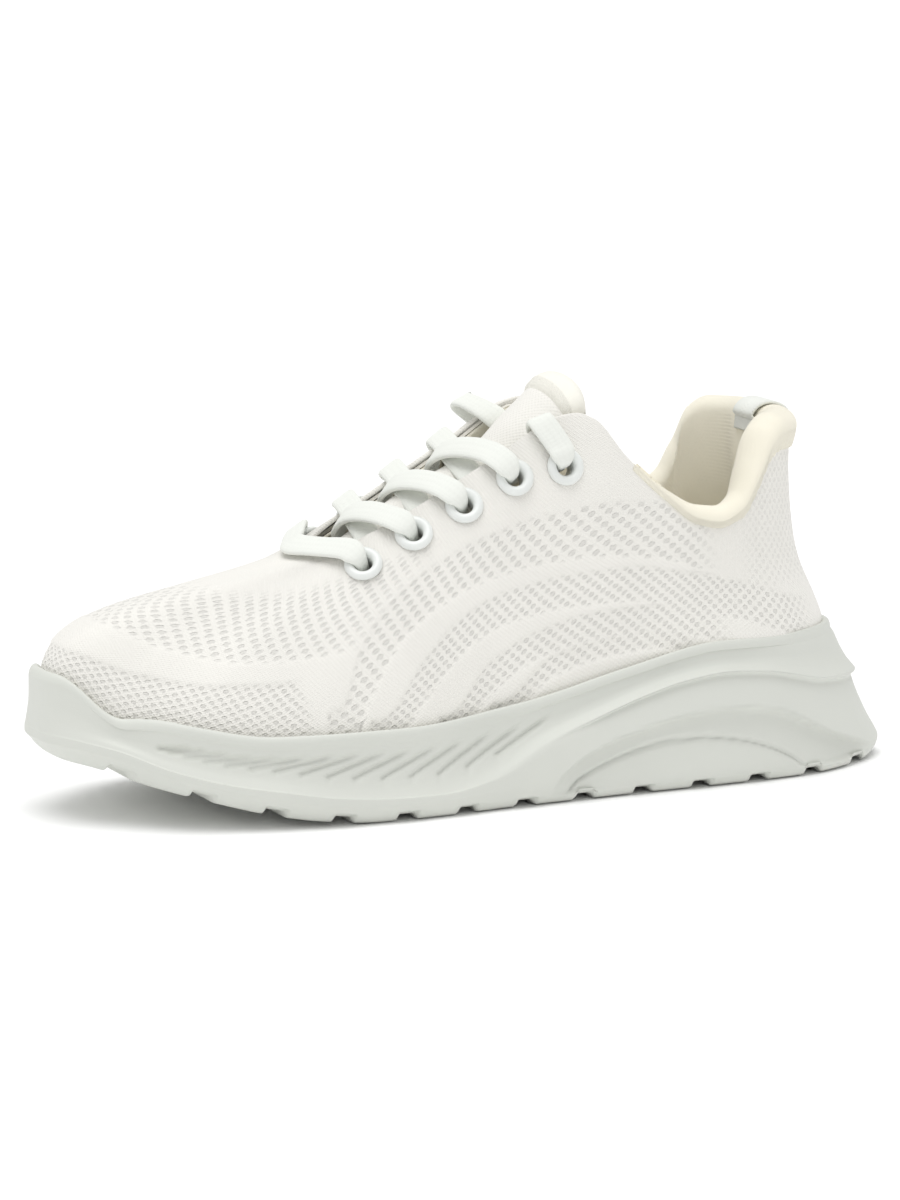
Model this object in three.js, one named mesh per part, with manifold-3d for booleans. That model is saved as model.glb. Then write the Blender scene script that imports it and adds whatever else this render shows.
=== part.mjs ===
// A knit running shoe for the left foot, laced and ready to wear, as an assembly of its separate pieces.
// Millimetres, +Z up. The toe points along -X and the heel along +X, the outer (lateral) side faces -Y
// and the inner (medial) side +Y. The tread rests on z = 0.
import * as THREE from "three";
import { ParametricGeometry } from "three/addons/geometries/ParametricGeometry.js";
import { mergeVertices } from "three/addons/utils/BufferGeometryUtils.js";
import Module from "manifold-3d";

const wasm = await Module();
wasm.setup();

// ---------------------------------------------------------------- driving dimensions
const soleLength = 284;
const forefootWidth = 98; // across the flare of the sole at the ball of the foot
const waistWidth = 84; // across the sole under the arch
const heelWidth = 78; // across the flare at the heel
const toeSpring = 20; // how far the front of the tread is lifted off the ground
const forefootStack = 17; // foam under the ball of the foot
const heelStack = 32; // foam under the heel
const cupDepth = 11; // how far the rim stands above the footbed
const toeBumper = 12.5; // extra height of the rim round the toe
const beadWidth = 2.4; // thickness of the rim of the cup
const sideFlare = 4; // overhang of the sole beyond the rim, along the sides
const heelFlare = 18; // overhang of the sole behind the rim, at the heel
const treadGroove = { depth: 3, mouth: 8, floor: 5, pitch: 20.5 };

const knitThickness = 1.5;
const stiffenerThickness = 1.0;
const liningThickness = 0.8;
const boardThickness = 1.5;
const insoleThickness = 4.2;
const clothThickness = 0.8; // the cloth that faces the insole
const gap = 0.3; // between pieces that lie on each other

const throatX = -54; // the front end of the lacing slot
const collarBackX = 107; // the back of the collar
const eyestayTop = 117; // height of the front corners of the collar
const collarLow = 82; // height of the knit below the ankle
const heelTop = 108; // height of the knit at the heel tab
const padFront = 4.3; // thickness of the collar beside the tongue
const padHeel = 9.5; // thickness of the padded collar round the heel

const eyelet = {
  count: 5,
  firstX: -43.8,
  pitch: 16.4,
  row: [23.3, 26.2], // how far the first and the last stand off the middle
  hole: 2.8,
  barrel: 3.3,
  flange: 5.9,
};
const lace = { width: 6.6, thickness: 2.0, bunchedWidth: 4.2, bunchedThickness: 2.4 };
const aglet = { length: 20, inside: 1.9, outside: 2.4 };
const tongue = { cover: 1.2, foam: 3.0, lining: 0.8, topWidth: 43, baseWidth: 25 };
const tape = { width: 14, thickness: 0.9, outside: 17, inside: 12 };

// ---------------------------------------------------------------- materials
const finish = (color, roughness) => new THREE.MeshStandardMaterial({ color, roughness, metalness: 0 });
const materials = {
  foam: finish(0xe4ebe6, 0.55),
  knit: finish(0xf6f4f1, 0.9),
  lining: finish(0xf4efdc, 0.95),
  padding: finish(0xf2edd8, 0.9),
  board: finish(0xd9d4c8, 0.9),
  stiffener: finish(0xe8e6e0, 0.6),
  lacing: finish(0xf7faf6, 0.8),
  eyelet: finish(0xe9f1ee, 0.35),
  clear: finish(0xf0f2f0, 0.2),
};

// ---------------------------------------------------------------- curves and solids
const mix = (a, b, part) => a + (b - a) * part;
const clamp = (x, low, high) => Math.min(high, Math.max(low, x));
const ease = (a, b, x) => THREE.MathUtils.smoothstep(x, a, b);

// A smooth curve through [place, value] pairs that never overshoots them.
function curve(pairs) {
  const slope = pairs.map((pair, i) => {
    if (i === 0 || i === pairs.length - 1) return 0;
    const before = (pair[1] - pairs[i - 1][1]) / (pair[0] - pairs[i - 1][0]);
    const after = (pairs[i + 1][1] - pair[1]) / (pairs[i + 1][0] - pair[0]);
    return before * after > 0 ? (2 * before * after) / (before + after) : 0;
  });
  return (x) => {
    if (x <= pairs[0][0]) return pairs[0][1];
    let i = 1;
    while (i < pairs.length - 1 && x > pairs[i][0]) i += 1;
    const [x0, y0] = pairs[i - 1];
    const [x1, y1] = pairs[i];
    const span = x1 - x0;
    const t = clamp((x - x0) / span, 0, 1);
    const rise = y1 - y0;
    const a = slope[i - 1] * span - rise;
    const b = rise - slope[i] * span;
    return y0 + rise * t + t * (1 - t) * (a * (1 - t) + b * t);
  };
}

// A closed geometry from a parametric surface whose edges meet.
function closed(point, slices, stacks) {
  const raw = new ParametricGeometry(point, slices, stacks);
  raw.deleteAttribute("normal");
  raw.deleteAttribute("uv");
  const merged = mergeVertices(raw, 1e-3);
  const faces = [];
  const corners = merged.index.array;
  for (let i = 0; i < corners.length; i += 3) {
    const [a, b, c] = corners.slice(i, i + 3);
    if (a !== b && b !== c && c !== a) faces.push(a, b, c);
  }
  merged.setIndex(faces);
  if (volume(merged) < 0) {
    for (let i = 0; i < faces.length; i += 3) [faces[i + 1], faces[i + 2]] = [faces[i + 2], faces[i + 1]];
    merged.setIndex(faces);
  }
  return merged;
}

function volume(geometry) {
  const place = geometry.attributes.position;
  const index = geometry.index.array;
  const [a, b, c] = [new THREE.Vector3(), new THREE.Vector3(), new THREE.Vector3()];
  let sum = 0;
  for (let i = 0; i < index.length; i += 3) {
    a.fromBufferAttribute(place, index[i]);
    b.fromBufferAttribute(place, index[i + 1]);
    c.fromBufferAttribute(place, index[i + 2]);
    sum += a.dot(b.cross(c)) / 6;
  }
  return sum;
}

function toManifold(geometry, matrix) {
  const shape = geometry.clone();
  shape.deleteAttribute("normal");
  shape.deleteAttribute("uv");
  if (matrix) shape.applyMatrix4(matrix);
  const merged = mergeVertices(shape, 1e-3);
  const numbers = { numProp: 3, vertProperties: merged.attributes.position.array };
  return new wasm.Manifold(new wasm.Mesh({ ...numbers, triVerts: new Uint32Array(merged.index.array) }));
}

// The geometry with every [geometry, matrix] tool cut out of it.
function cut(geometry, tools) {
  let body = toManifold(geometry);
  for (const [tool, matrix] of tools) body = body.subtract(toManifold(tool, matrix));
  const mesh = body.getMesh();
  const made = new THREE.BufferGeometry();
  made.setAttribute("position", new THREE.BufferAttribute(new Float32Array(mesh.vertProperties), 3));
  made.setIndex([...mesh.triVerts]);
  return made;
}

const shoe = new THREE.Group();
function add(name, geometry, material, place, turn) {
  const mesh = new THREE.Mesh(geometry, material);
  mesh.name = name;
  if (place) mesh.position.copy(place);
  if (turn) mesh.quaternion.copy(turn);
  shoe.add(mesh);
  return mesh;
}

// ---------------------------------------------------------------- the last: rings round the foot
// A ring is followed by an angle: 0 at the toe, through the lateral side to PI at the heel, and back.
const alongRing = (angle) => (1 - Math.cos(angle)) / 2;
const soleToe = -soleLength / 2;
const share = (x) => (x - soleToe) / soleLength;
const halfFore = forefootWidth / 2;
const halfWaist = waistWidth / 2;
const halfHeel = heelWidth / 2;

const soleHalf = curve([[0, 0.76 * halfFore], [0.058, 0.88 * halfFore], [0.13, 1.06 * halfFore],
  [0.24, 1.09 * halfFore], [0.36, 1.02 * halfFore], [0.5, halfWaist + 1], [0.64, halfWaist - 1],
  [0.78, 1.12 * halfHeel], [0.887, 1.2 * halfHeel], [0.96, 1.1 * halfHeel], [1, halfHeel]]);
const soleCentre = curve([[0, 6], [0.06, 4.8], [0.13, 3.4], [0.25, 1.5], [0.36, -0.5], [0.5, -2.5], [0.64, -3],
  [0.8, -2], [1, 0]]);
const cornerRound = 0.62; // how square the toe and heel are: 1 is an ellipse, less is blunter

function soleRing(angle, inset, height) {
  const t = alongRing(angle);
  const side = -Math.sign(Math.sin(angle));
  const reach = Math.abs(Math.sin(angle)) ** cornerRound;
  const x = mix(soleToe + inset.toe, soleToe + soleLength - inset.heel, t);
  return new THREE.Vector3(x, soleCentre(t) + side * (soleHalf(t) - inset.side) * reach, height(share(x)));
}

// Heights along the sole, by share of its length from the toe.
const treadZ = curve([[0, toeSpring + 1], [0.046, 0.92 * toeSpring], [0.102, 0.62 * toeSpring],
  [0.15, 0.42 * toeSpring], [0.211, 0.2 * toeSpring], [0.26, 0.08 * toeSpring], [0.33, 0], [0.94, 0], [1, 2]]);
const footbedZ = curve([[0, forefootStack + 0.8 * toeSpring], [0.06, forefootStack + 0.5 * toeSpring],
  [0.13, forefootStack + 0.2 * toeSpring], [0.22, forefootStack], [0.37, forefootStack],
  [0.5, mix(forefootStack, heelStack, 0.25)], [0.63, mix(forefootStack, heelStack, 0.72)],
  [0.75, heelStack + 0.6], [0.85, heelStack], [1, heelStack]]);
const bumper = (s) => toeBumper * (1 - ease(0.018, 0.075, s));
const rimZ = (s) => footbedZ(s) + cupDepth - 0.55 * toeSpring * (1 - ease(0, 0.12, s)) + bumper(s)
  + 1.6 * ease(0.55, 0.75, s);
// The ridge that sweeps from low at the ball of the foot up over the arch and round the heel.
const ridgeZ = curve([[0, toeSpring + 8], [0.06, toeSpring + 5], [0.109, 19.5], [0.165, 15.2], [0.225, 12.5],
  [0.285, 9.8], [0.352, 8.4], [0.4, 8.2], [0.46, 11], [0.53, 20], [0.595, 26.2], [0.65, 31.2], [0.7, 34.6],
  [0.75, 36], [0.8, 35], [0.86, 31.4], [0.89, 29.6], [1, 28]]);

// ---------------------------------------------------------------- sole unit
const rimInset = { toe: 3.4, side: sideFlare + 1.2, heel: heelFlare + 1.5 };
const grow = (inset, by) => ({ toe: inset.toe + by, side: inset.side + by, heel: inset.heel + by });
const cupInset = grow(rimInset, beadWidth - 1);
const wallLevels = [
  [{ toe: 9, side: 5, heel: 4 }, treadZ],
  [{ toe: 3, side: 1.5, heel: 0.5 }, (s) => treadZ(s) + 4],
  [{ toe: 1, side: 0, heel: 1.5 }, (s) => mix(treadZ(s) + 4, ridgeZ(s), 0.4)],
  [{ toe: 1.2, side: 1, heel: 9.5 }, ridgeZ],
  [{ toe: 2.5, side: sideFlare + 1.4, heel: heelFlare - 4 }, (s) => mix(ridgeZ(s), rimZ(s), 0.35)],
  [{ toe: 3, side: sideFlare + 1.8, heel: heelFlare }, (s) => mix(ridgeZ(s), rimZ(s), 0.75)],
  [grow(rimInset, -1.2), (s) => rimZ(s) - 1.6],
  [rimInset, rimZ],
  [cupInset, (s) => rimZ(s) - 0.8],
  [grow(cupInset, 0.8), footbedZ],
];

// Rings from the middle of the tread, up the wall, over the rim and in across the footbed. The first and
// last close on the centre line, where the lateral and medial points of a station meet.
function soleUnit() {
  const levels = wallLevels.length;
  const surface = (u, v, target) => {
    const angle = u * 2 * Math.PI;
    const level = Math.round(v * (levels + 1)) - 1;
    const [inset, height] = wallLevels[clamp(level, 0, levels - 1)];
    target.copy(soleRing(angle, inset, height));
    if (level < 0 || level >= levels) target.y = soleCentre(alongRing(angle));
  };
  return closed(surface, 64, levels + 1);
}

// Transverse grooves that part the tread into lugs, and one channel along the middle.
function treadCutters() {
  const { depth, mouth, floor, pitch } = treadGroove;
  const section = new THREE.Shape([new THREE.Vector2(-mouth / 2, -2), new THREE.Vector2(mouth / 2, -2),
    new THREE.Vector2(mouth / 2, 0), new THREE.Vector2(floor / 2, depth), new THREE.Vector2(-floor / 2, depth),
    new THREE.Vector2(-mouth / 2, 0)]);
  const bar = new THREE.ExtrudeGeometry(section, { depth: 2 * forefootWidth, bevelEnabled: false, steps: 1 });
  bar.translate(0, 0, -forefootWidth);
  const cutters = [];
  for (let x = soleToe + 20; x < soleToe + 0.92 * soleLength; x += pitch) {
    const z = treadZ(share(x));
    const lean = Math.atan2(treadZ(share(x + 4)) - treadZ(share(x - 4)), 8);
    const matrix = new THREE.Matrix4().makeRotationFromEuler(new THREE.Euler(Math.PI / 2, 0, 0));
    matrix.premultiply(new THREE.Matrix4().makeRotationY(-lean));
    matrix.setPosition(x, 0, z);
    cutters.push([bar, matrix]);
  }
  const channel = new THREE.BoxGeometry(0.5 * soleLength, 9, 2 * depth);
  cutters.push([channel, new THREE.Matrix4().setPosition(0.08 * soleLength, -1, 0)]);
  return cutters;
}
add("sole_unit", cut(soleUnit(), treadCutters()), materials.foam);

// ---------------------------------------------------------------- the upper's surface
// Ribs rise from the cup of the sole to the edge of the opening: the lacing slot, then the collar.
const footInset = grow(cupInset, 0.8 + gap + 0.2);
const openingX = (t) => mix(throatX, collarBackX, t);
const openingHalf = curve([[0, 20.5], [0.1, 20.5], [0.3, 19.8], [0.48, 20.9], [0.6, 26.5], [0.75, 33], [0.88, 37],
  [1, 34]]);
const throatZ = (x) => eyestayTop - 0.54 * (23.5 - x);
const openingZ = curve([[0, throatZ(throatX) + 1.5], [0.1, throatZ(openingX(0.1))], [0.34, throatZ(openingX(0.34))],
  [0.47, eyestayTop - 0.8], [0.505, eyestayTop], [0.54, eyestayTop - 2], [0.6, mix(collarLow, eyestayTop, 0.6)],
  [0.68, mix(collarLow, eyestayTop, 0.24)], [0.74, collarLow + 1.4], [0.785, collarLow],
  [0.83, collarLow + 3.5], [0.865, mix(collarLow, heelTop, 0.5)], [0.9, heelTop - 3], [0.935, heelTop],
  [1, heelTop]]);
const firstRise = curve([[0, 36], [0.05, 27], [0.12, 22], [0.25, 22], [0.5, 30], [0.75, 24], [1, 20]]);
const firstLean = curve([[0, 8], [0.05, 4], [0.1, 2.5], [0.3, 1.5], [0.6, 1], [0.85, -1], [1, -5]]);
const lastReach = curve([[0, 44], [0.05, 36], [0.1, 30], [0.25, 24], [0.5, 15], [0.7, 4], [1, -3]]);
const lastDrop = curve([[0, 15], [0.05, 18], [0.1, 20], [0.25, 20], [0.5, 22], [0.75, 16], [1, 24]]);

function foot(angle) {
  return soleRing(angle, footInset, (s) => footbedZ(s) + 2 * gap);
}
function opening(angle) {
  const t = alongRing(angle);
  const side = -Math.sign(Math.sin(angle));
  const reach = Math.abs(Math.sin(angle)) ** 0.55;
  return new THREE.Vector3(openingX(t), side * openingHalf(t) * reach, openingZ(t));
}
function rib(angle) {
  const t = alongRing(angle);
  const [from, to] = [foot(angle), opening(angle)];
  const outward = new THREE.Vector3(-Math.cos(angle), -Math.sin(angle), 0);
  const back = new THREE.Vector3(from.x - to.x, from.y - to.y, 0).normalize();
  if (t > 0.8) back.lerp(outward, ease(0.8, 0.95, t)).normalize();
  const first = from.clone().addScaledVector(outward, firstLean(t));
  first.z += firstRise(t);
  const last = to.clone().addScaledVector(back, lastReach(t));
  last.z -= lastDrop(t);
  return new THREE.CubicBezierCurve3(from, first, last, to);
}
const ribs = new Map();
function upperPoint(angle, up) {
  const key = angle.toFixed(9);
  if (!ribs.has(key)) ribs.set(key, rib(angle));
  return ribs.get(key).getPoint(up);
}
function upperNormal(angle, up) {
  const step = 0.012;
  const round = upperPoint(angle + step, up).sub(upperPoint(angle - step, up));
  const rise = upperPoint(angle, Math.min(1, up + step)).sub(upperPoint(angle, Math.max(0, up - step)));
  return round.cross(rise).normalize();
}
// A point inside the upper's outer face by the given depth.
const upperAt = (angle, up, depth) => upperPoint(angle, up).addScaledVector(upperNormal(angle, up), -depth);

// A skin between an outer and an inner face. section(u) gives both faces as equally long lists of
// [up, depth, rise]; pointAt places them. An open skin is closed at its first and last station.
function skin(pointAt, [from, to], slices, section, open = true) {
  const lead = open ? 1 : 0;
  const count = section(from).outer.length;
  const surface = (u, v, target) => {
    const i = Math.round(u * (slices + 2 * lead));
    const along = mix(from, to, clamp((i - lead) / slices, 0, 1));
    const { outer, inner } = section(along);
    const j = Math.round(v * 2 * count) % (2 * count);
    const row = j < count ? j : 2 * count - 1 - j;
    const pinched = open && (i === 0 || i === slices + 2);
    const [a, b] = [pointAt(along, ...outer[row]), pointAt(along, ...inner[row])];
    if (pinched) target.lerpVectors(a, b, 0.5);
    else target.copy(j < count ? a : b);
  };
  return closed(surface, slices + 2 * lead, 2 * count);
}

// Both faces of a plain layer, from one height of the ribs to another.
const layer = (low, high, outerDepth, innerDepth, rows) => (u) => {
  const row = (depth) => Array.from({ length: rows + 1 }, (_, k) => {
    const up = mix(low(u), high(u), k / rows);
    return [up, depth(alongRing(u), up), 0];
  });
  return { outer: row(outerDepth), inner: row(innerDepth) };
};
const flat = (value) => () => value;

// A point of the upper, carried on past its top edge by a rise along the ribs.
function onUpper(angle, up, depth, rise) {
  const point = upperAt(angle, up, depth);
  if (!rise) return point;
  const direction = upperPoint(angle, 1).sub(upperPoint(angle, 0.97)).normalize();
  return point.addScaledVector(direction, rise);
}

const stiffener = [knitThickness + 1.4 * gap, knitThickness + 1.4 * gap + stiffenerThickness];
const liningDepth = [stiffener[1] + 1.2 * gap, stiffener[1] + 1.2 * gap + liningThickness];
const pad = (t, up) => mix(liningDepth[1] + 0.7,
  mix(padFront + 1.3, padHeel, ease(0.62, 0.86, t)), ease(0.2, 0.75, up));

// ---------------------------------------------------------------- eyelet places
function solve(low, high, rising) {
  let [a, b] = [low, high];
  for (let i = 0; i < 40; i += 1) {
    const middle = (a + b) / 2;
    if (rising(middle) > 0) b = middle;
    else a = middle;
  }
  return (a + b) / 2;
}
const sides = { lateral: 1, medial: -1 };
// The rib that reaches a given x at a given height, and the height at which an eyelet row is met.
const ribAt = (x, up, sign) => sign * solve(0.05, 1.9, (angle) => upperPoint(angle, up).x - x);
const heightWhere = (x, sign, rising) => solve(0.4, 0.98,
  (up) => rising(upperPoint(ribAt(x, up, sign), up)));
const zAxis = new THREE.Vector3(0, 0, 1);
const spots = { lateral: [], medial: [] };
for (let i = 0; i < eyelet.count; i += 1) {
  const x = eyelet.firstX + i * eyelet.pitch;
  const half = mix(...eyelet.row, i / (eyelet.count - 1));
  for (const [side, sign] of Object.entries(sides)) {
    // The lateral row keeps its distance from the middle, and the medial row is level with it.
    const level = side === "lateral" ? (p) => half - Math.abs(p.y) : (p) => p.z - spots.lateral[i].place.z;
    const up = heightWhere(x, sign, level);
    const angle = ribAt(x, up, sign);
    const place = upperPoint(angle, up);
    const normal = upperNormal(angle, up);
    const inward = new THREE.Vector3(0, sign, 0).addScaledVector(normal, -sign * normal.y).normalize();
    const turn = new THREE.Quaternion().setFromUnitVectors(zAxis, normal);
    spots[side].push({ sign, angle, up, place, normal, inward, turn });
  }
}
const punch = new THREE.CylinderGeometry(eyelet.barrel + 2 * gap, eyelet.barrel + 2 * gap, 16, 12);
punch.rotateX(Math.PI / 2);
const punches = (names) => names.flatMap((side) => spots[side].map(({ place, turn }) =>
  [punch, new THREE.Matrix4().compose(place, turn, new THREE.Vector3(1, 1, 1))]));

// ---------------------------------------------------------------- upper, stiffeners and linings
const ringSlices = 56;
const ribRows = Math.round(soleLength / 31.5); // short enough that a facet doesn't reach the layer below
const slice = (2 * Math.PI) / ringSlices;
const whole = [0, 2 * Math.PI];
const knitLayer = layer(flat(0), flat(1), flat(0), flat(knitThickness), ribRows);
const knit = skin(onUpper, whole, ringSlices, knitLayer, false);
add("knit_upper", cut(knit, punches(["lateral", "medial"])), materials.knit);

const stiff = (low, high, rows) => layer(flat(low), high, flat(stiffener[0]), flat(stiffener[1]), rows);
const puffHalf = 8 * slice;
const puffTop = (u) => 0.36 - 0.2 * (u / puffHalf) ** 2;
add("toe_puff", skin(onUpper, [-puffHalf, puffHalf], 16, stiff(0.02, puffTop, 4)), materials.stiffener);
const counterHalf = 9 * slice;
const counterTop = (u) => 0.6 - 0.35 * ((u - Math.PI) / counterHalf) ** 2;
const counterSpan = [Math.PI - counterHalf, Math.PI + counterHalf];
add("heel_counter", skin(onUpper, counterSpan, 18, stiff(0.02, counterTop, 5)), materials.stiffener);
// A backing reaches below every eyelet of its row, by at least the eyelet's flange.
const backingLow = (side) => Math.min(0.68, ...spots[side].map(({ angle, up }) =>
  up - (eyelet.flange + 1) / rib(angle).getLength()));
for (const [side, sign] of Object.entries(sides)) {
  const span = [spots[side][0].angle - sign * 0.11, spots[side].at(-1).angle + sign * 0.06];
  const strip = skin(onUpper, span, 12, stiff(backingLow(side), flat(0.985), 3));
  add(`eyestay_backing_${side}`, cut(strip, punches([side])), materials.stiffener);
}
const liningEnd = 16 * slice;
const vamp = skin(onUpper, [-liningEnd + 0.005, liningEnd - 0.005], 32,
  layer(flat(0.03), flat(0.99), flat(liningDepth[0]), flat(liningDepth[1]), ribRows));
add("vamp_lining", cut(vamp, punches(["lateral", "medial"])), materials.lining);

// The padded collar: a lining that climbs the inside and rolls over the top of the foam to the knit.
const rollSteps = 5;
function rolled(face, centre, radius, height) {
  const arc = Array.from({ length: rollSteps }, (_, k) => {
    const turn = ((k + 1) / rollSteps) * Math.PI;
    return [1, centre + radius * Math.cos(turn), height * Math.sin(turn) + gap];
  });
  return [...face, ...arc];
}
const collarRows = 5;
const collarFace = (t, low, less) => Array.from({ length: collarRows + 1 }, (_, k) => {
  const up = mix(low, 1, k / collarRows);
  return [up, pad(t, up) - less, 0];
});
const rollHeight = (t) => Math.min(4, 0.8 * pad(t, 1));
const collarSkin = (less) => (u) => {
  const t = alongRing(u);
  const skinOf = (by) => rolled(collarFace(t, 0.05, by), pad(t, 1) / 2, pad(t, 1) / 2 - by, rollHeight(t) - by);
  return { outer: skinOf(less), inner: skinOf(less + liningThickness) };
};
const collarSpan = [liningEnd + 0.005, 2 * Math.PI - liningEnd - 0.005];
add("collar_lining", skin(onUpper, collarSpan, 24, collarSkin(0)), materials.padding);
const foamSection = (u) => {
  const t = alongRing(u);
  const less = liningThickness + 2 * gap;
  const outerFace = liningDepth[0];
  const thick = (up) => Math.max(0.5, pad(t, up) - less - outerFace);
  const faces = [1, 0].map((inmost) => Array.from({ length: collarRows + 1 }, (_, k) => {
    const up = mix(0.07, 1, k / collarRows);
    return [up, outerFace + inmost * thick(up), 0];
  }));
  const crown = (sign) => [1, outerFace + thick(1) * (0.5 + sign * 0.3), rollHeight(t) - less - 0.3];
  return { outer: [...faces[1], crown(-1)], inner: [...faces[0], crown(1)] };
};
add("collar_foam", skin(onUpper, [collarSpan[0] + 0.02, collarSpan[1] - 0.02], 24, foamSection),
  materials.padding);

// The pull tape folds over the collar at the back of the heel.
const tapeHalf = tape.width / 2;
const ribLength = rib(Math.PI).getLength();
const tapeAngle = solve(0.01, 0.6, (by) => Math.abs(opening(Math.PI + by).y) - tapeHalf);
const tapeSection = (u) => {
  const t = alongRing(u);
  const thick = pad(t, 1);
  const sheet = (out) => {
    const outside = [tape.outside, tape.outside / 2, 0].map((drop) => [1 - drop / ribLength, -out, 0]);
    const arc = Array.from({ length: 7 }, (_, k) => {
      const turn = ((6 - k) / 6) * Math.PI;
      const reach = thick / 2 + out;
      return [1, thick / 2 + reach * Math.cos(turn), (rollHeight(t) + out) * Math.sin(turn) + gap];
    });
    const inside = [tape.inside / 2, tape.inside].map((drop) => {
      const up = 1 - drop / ribLength;
      return [up, pad(t, up) + out, 0];
    });
    return [...outside, ...arc, ...inside];
  };
  return { outer: sheet(gap + tape.thickness), inner: sheet(gap) };
};
add("heel_pull_tape", skin(onUpper, [Math.PI - tapeAngle, Math.PI + tapeAngle], 6, tapeSection),
  materials.lacing);

// ---------------------------------------------------------------- board and insole
// A plate inside the ring of the last, between two heights above the footbed.
function plate(inset, low, high) {
  const levels = [[low, true], [low], [high], [high, true]];
  const surface = (u, v, target) => {
    const angle = u * 2 * Math.PI;
    const [lift, middle] = levels[Math.round(v * 3)];
    target.copy(soleRing(angle, inset, (s) => footbedZ(s) + lift));
    if (middle) target.y = soleCentre(alongRing(angle));
  };
  return closed(surface, 56, 3);
}
const boardInset = { toe: footInset.toe + 5, side: footInset.side + 5.4, heel: footInset.heel + 8 };
const insoleInset = { toe: footInset.toe + 5.4, side: footInset.side + 7, heel: footInset.heel + 10 };
const boardTop = gap + boardThickness;
const insoleTop = boardTop + gap + insoleThickness;
add("strobel_board", plate(boardInset, gap, boardTop), materials.board);
add("insole_foam", plate(insoleInset, boardTop + gap, insoleTop), materials.foam);
add("insole_cover", plate(insoleInset, insoleTop + gap, insoleTop + gap + clothThickness), materials.lining);

// ---------------------------------------------------------------- tongue
const tongueLine = new THREE.CatmullRomCurve3([[-66, 64.5], [-56, 68], [-44, 73], [-28, 83.5], [-12, 94],
  [4, 103.3], [16, 115.3], [27.5, 126]].map(([x, z]) => new THREE.Vector3(x, 0, z)));
const tongueLayers = { cover: [0, tongue.cover] };
tongueLayers.foam = [tongue.cover + gap, tongue.cover + gap + tongue.foam];
tongueLayers.lining = [tongueLayers.foam[1] + gap, tongueLayers.foam[1] + gap + tongue.lining];
const tongueRadius = curve([[0, 34], [0.3, 25], [0.55, 19.5], [1, 19.5]]);
const topHalf = tongue.topWidth / 2;
const tongueHalf = curve([[0, tongue.baseWidth / 2], [0.25, 0.63 * topHalf], [0.6, 0.64 * topHalf],
  [0.75, 0.7 * topHalf], [0.94, topHalf], [1, 0.9 * topHalf]]);
// across runs from -1 at the lateral edge to 1 at the medial edge, along from the base to the top.
function onTongue(along, across, depth) {
  const centre = tongueLine.getPointAt(clamp(along, 0, 1));
  const tangent = tongueLine.getTangentAt(clamp(along, 0, 1));
  const normal = new THREE.Vector3(-tangent.z, 0, tangent.x);
  const radius = tongueRadius(along);
  const angle = (across * tongueHalf(along)) / radius;
  const reach = radius - depth;
  centre.addScaledVector(normal, reach * Math.cos(angle) - radius);
  centre.y += reach * Math.sin(angle);
  return centre;
}
const tongueRows = 8;
const tongueLayer = ([outerDepth, innerDepth], width) => () => {
  const face = (depth) => Array.from({ length: tongueRows + 1 }, (_, k) =>
    [width * (-1 + (2 * k) / tongueRows), depth]);
  return { outer: face(outerDepth), inner: face(innerDepth) };
};
add("tongue_cover", skin(onTongue, [0, 1], 12, tongueLayer(tongueLayers.cover, 1)), materials.knit);
add("tongue_foam", skin(onTongue, [0.03, 0.97], 12, tongueLayer(tongueLayers.foam, 0.93)), materials.padding);
add("tongue_lining", skin(onTongue, [0.01, 0.995], 12, tongueLayer(tongueLayers.lining, 0.98)),
  materials.lining);

// ---------------------------------------------------------------- eyelets and their washers
const flangeTop = gap + 1.3;
const sag = 1.32; // room for the curve of the upper under a flat washer
const washerTop = liningDepth[1] + sag;
const washerThickness = 0.8;
const barrelEnd = washerTop + washerThickness + 0.3;
const lathe = (points, turns) => new THREE.LatheGeometry(points.map(([r, z]) => new THREE.Vector2(r, z)), turns)
  .rotateX(Math.PI / 2);
const eyeletShape = lathe([[eyelet.hole, -barrelEnd], [eyelet.barrel, -barrelEnd], [eyelet.barrel, gap],
  [eyelet.flange, gap], [eyelet.flange, gap + 0.5], [eyelet.flange - 1, flangeTop],
  [eyelet.hole + 0.6, flangeTop], [eyelet.hole, flangeTop - 0.5], [eyelet.hole, -barrelEnd]], 12);
const washerHole = eyelet.barrel + gap;
const washerRadius = eyelet.flange - 1;
const washerShape = lathe([[washerHole, -washerTop - washerThickness], [washerRadius, -washerTop - washerThickness],
  [washerRadius, -washerTop], [washerHole, -washerTop], [washerHole, -washerTop - washerThickness]], 12);
for (const side of Object.keys(sides)) {
  spots[side].forEach(({ place, turn }, i) => {
    add(`eyelet_${side}_${i + 1}`, eyeletShape, materials.eyelet, place, turn);
    add(`eyelet_washer_${side}_${i + 1}`, washerShape, materials.eyelet, place, turn);
  });
}

// ---------------------------------------------------------------- lace
// Stations of [place, normal of the flat, how far the lace is bunched: 1 in an eyelet, 2 in an aglet].
const inside = -(barrelEnd + lace.thickness / 2 + 0.5);
const outside = flangeTop + lace.thickness / 2 + 0.4;
function through(side, i) {
  const { place, normal, inward } = spots[side][i];
  const at = (reach, height, lean, bunched) => [
    place.clone().addScaledVector(inward, reach).addScaledVector(normal, height),
    normal.clone().multiplyScalar(Math.cos(lean)).addScaledVector(inward, -Math.sin(lean)),
    bunched,
  ];
  const down = [at(6.4, outside - 0.1, 0, 0), at(3.2, outside + 0.5, 0.3, 0.3), at(0.3, outside - 0.9, 1.2, 1),
    at(-0.1, 0, Math.PI / 2, 1), at(-0.1, -barrelEnd + 0.5, Math.PI / 2, 1)];
  if (i === eyelet.count - 1) return [...down, at(-0.9, inside - 0.5, 0.6, 0.9), at(-4.5, inside - 0.4, 0, 1)];
  return [...down, at(0.8, inside - 0.8, 2.4, 0.8), at(3.6, inside - 1.3, Math.PI, 0.8)];
}
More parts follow.
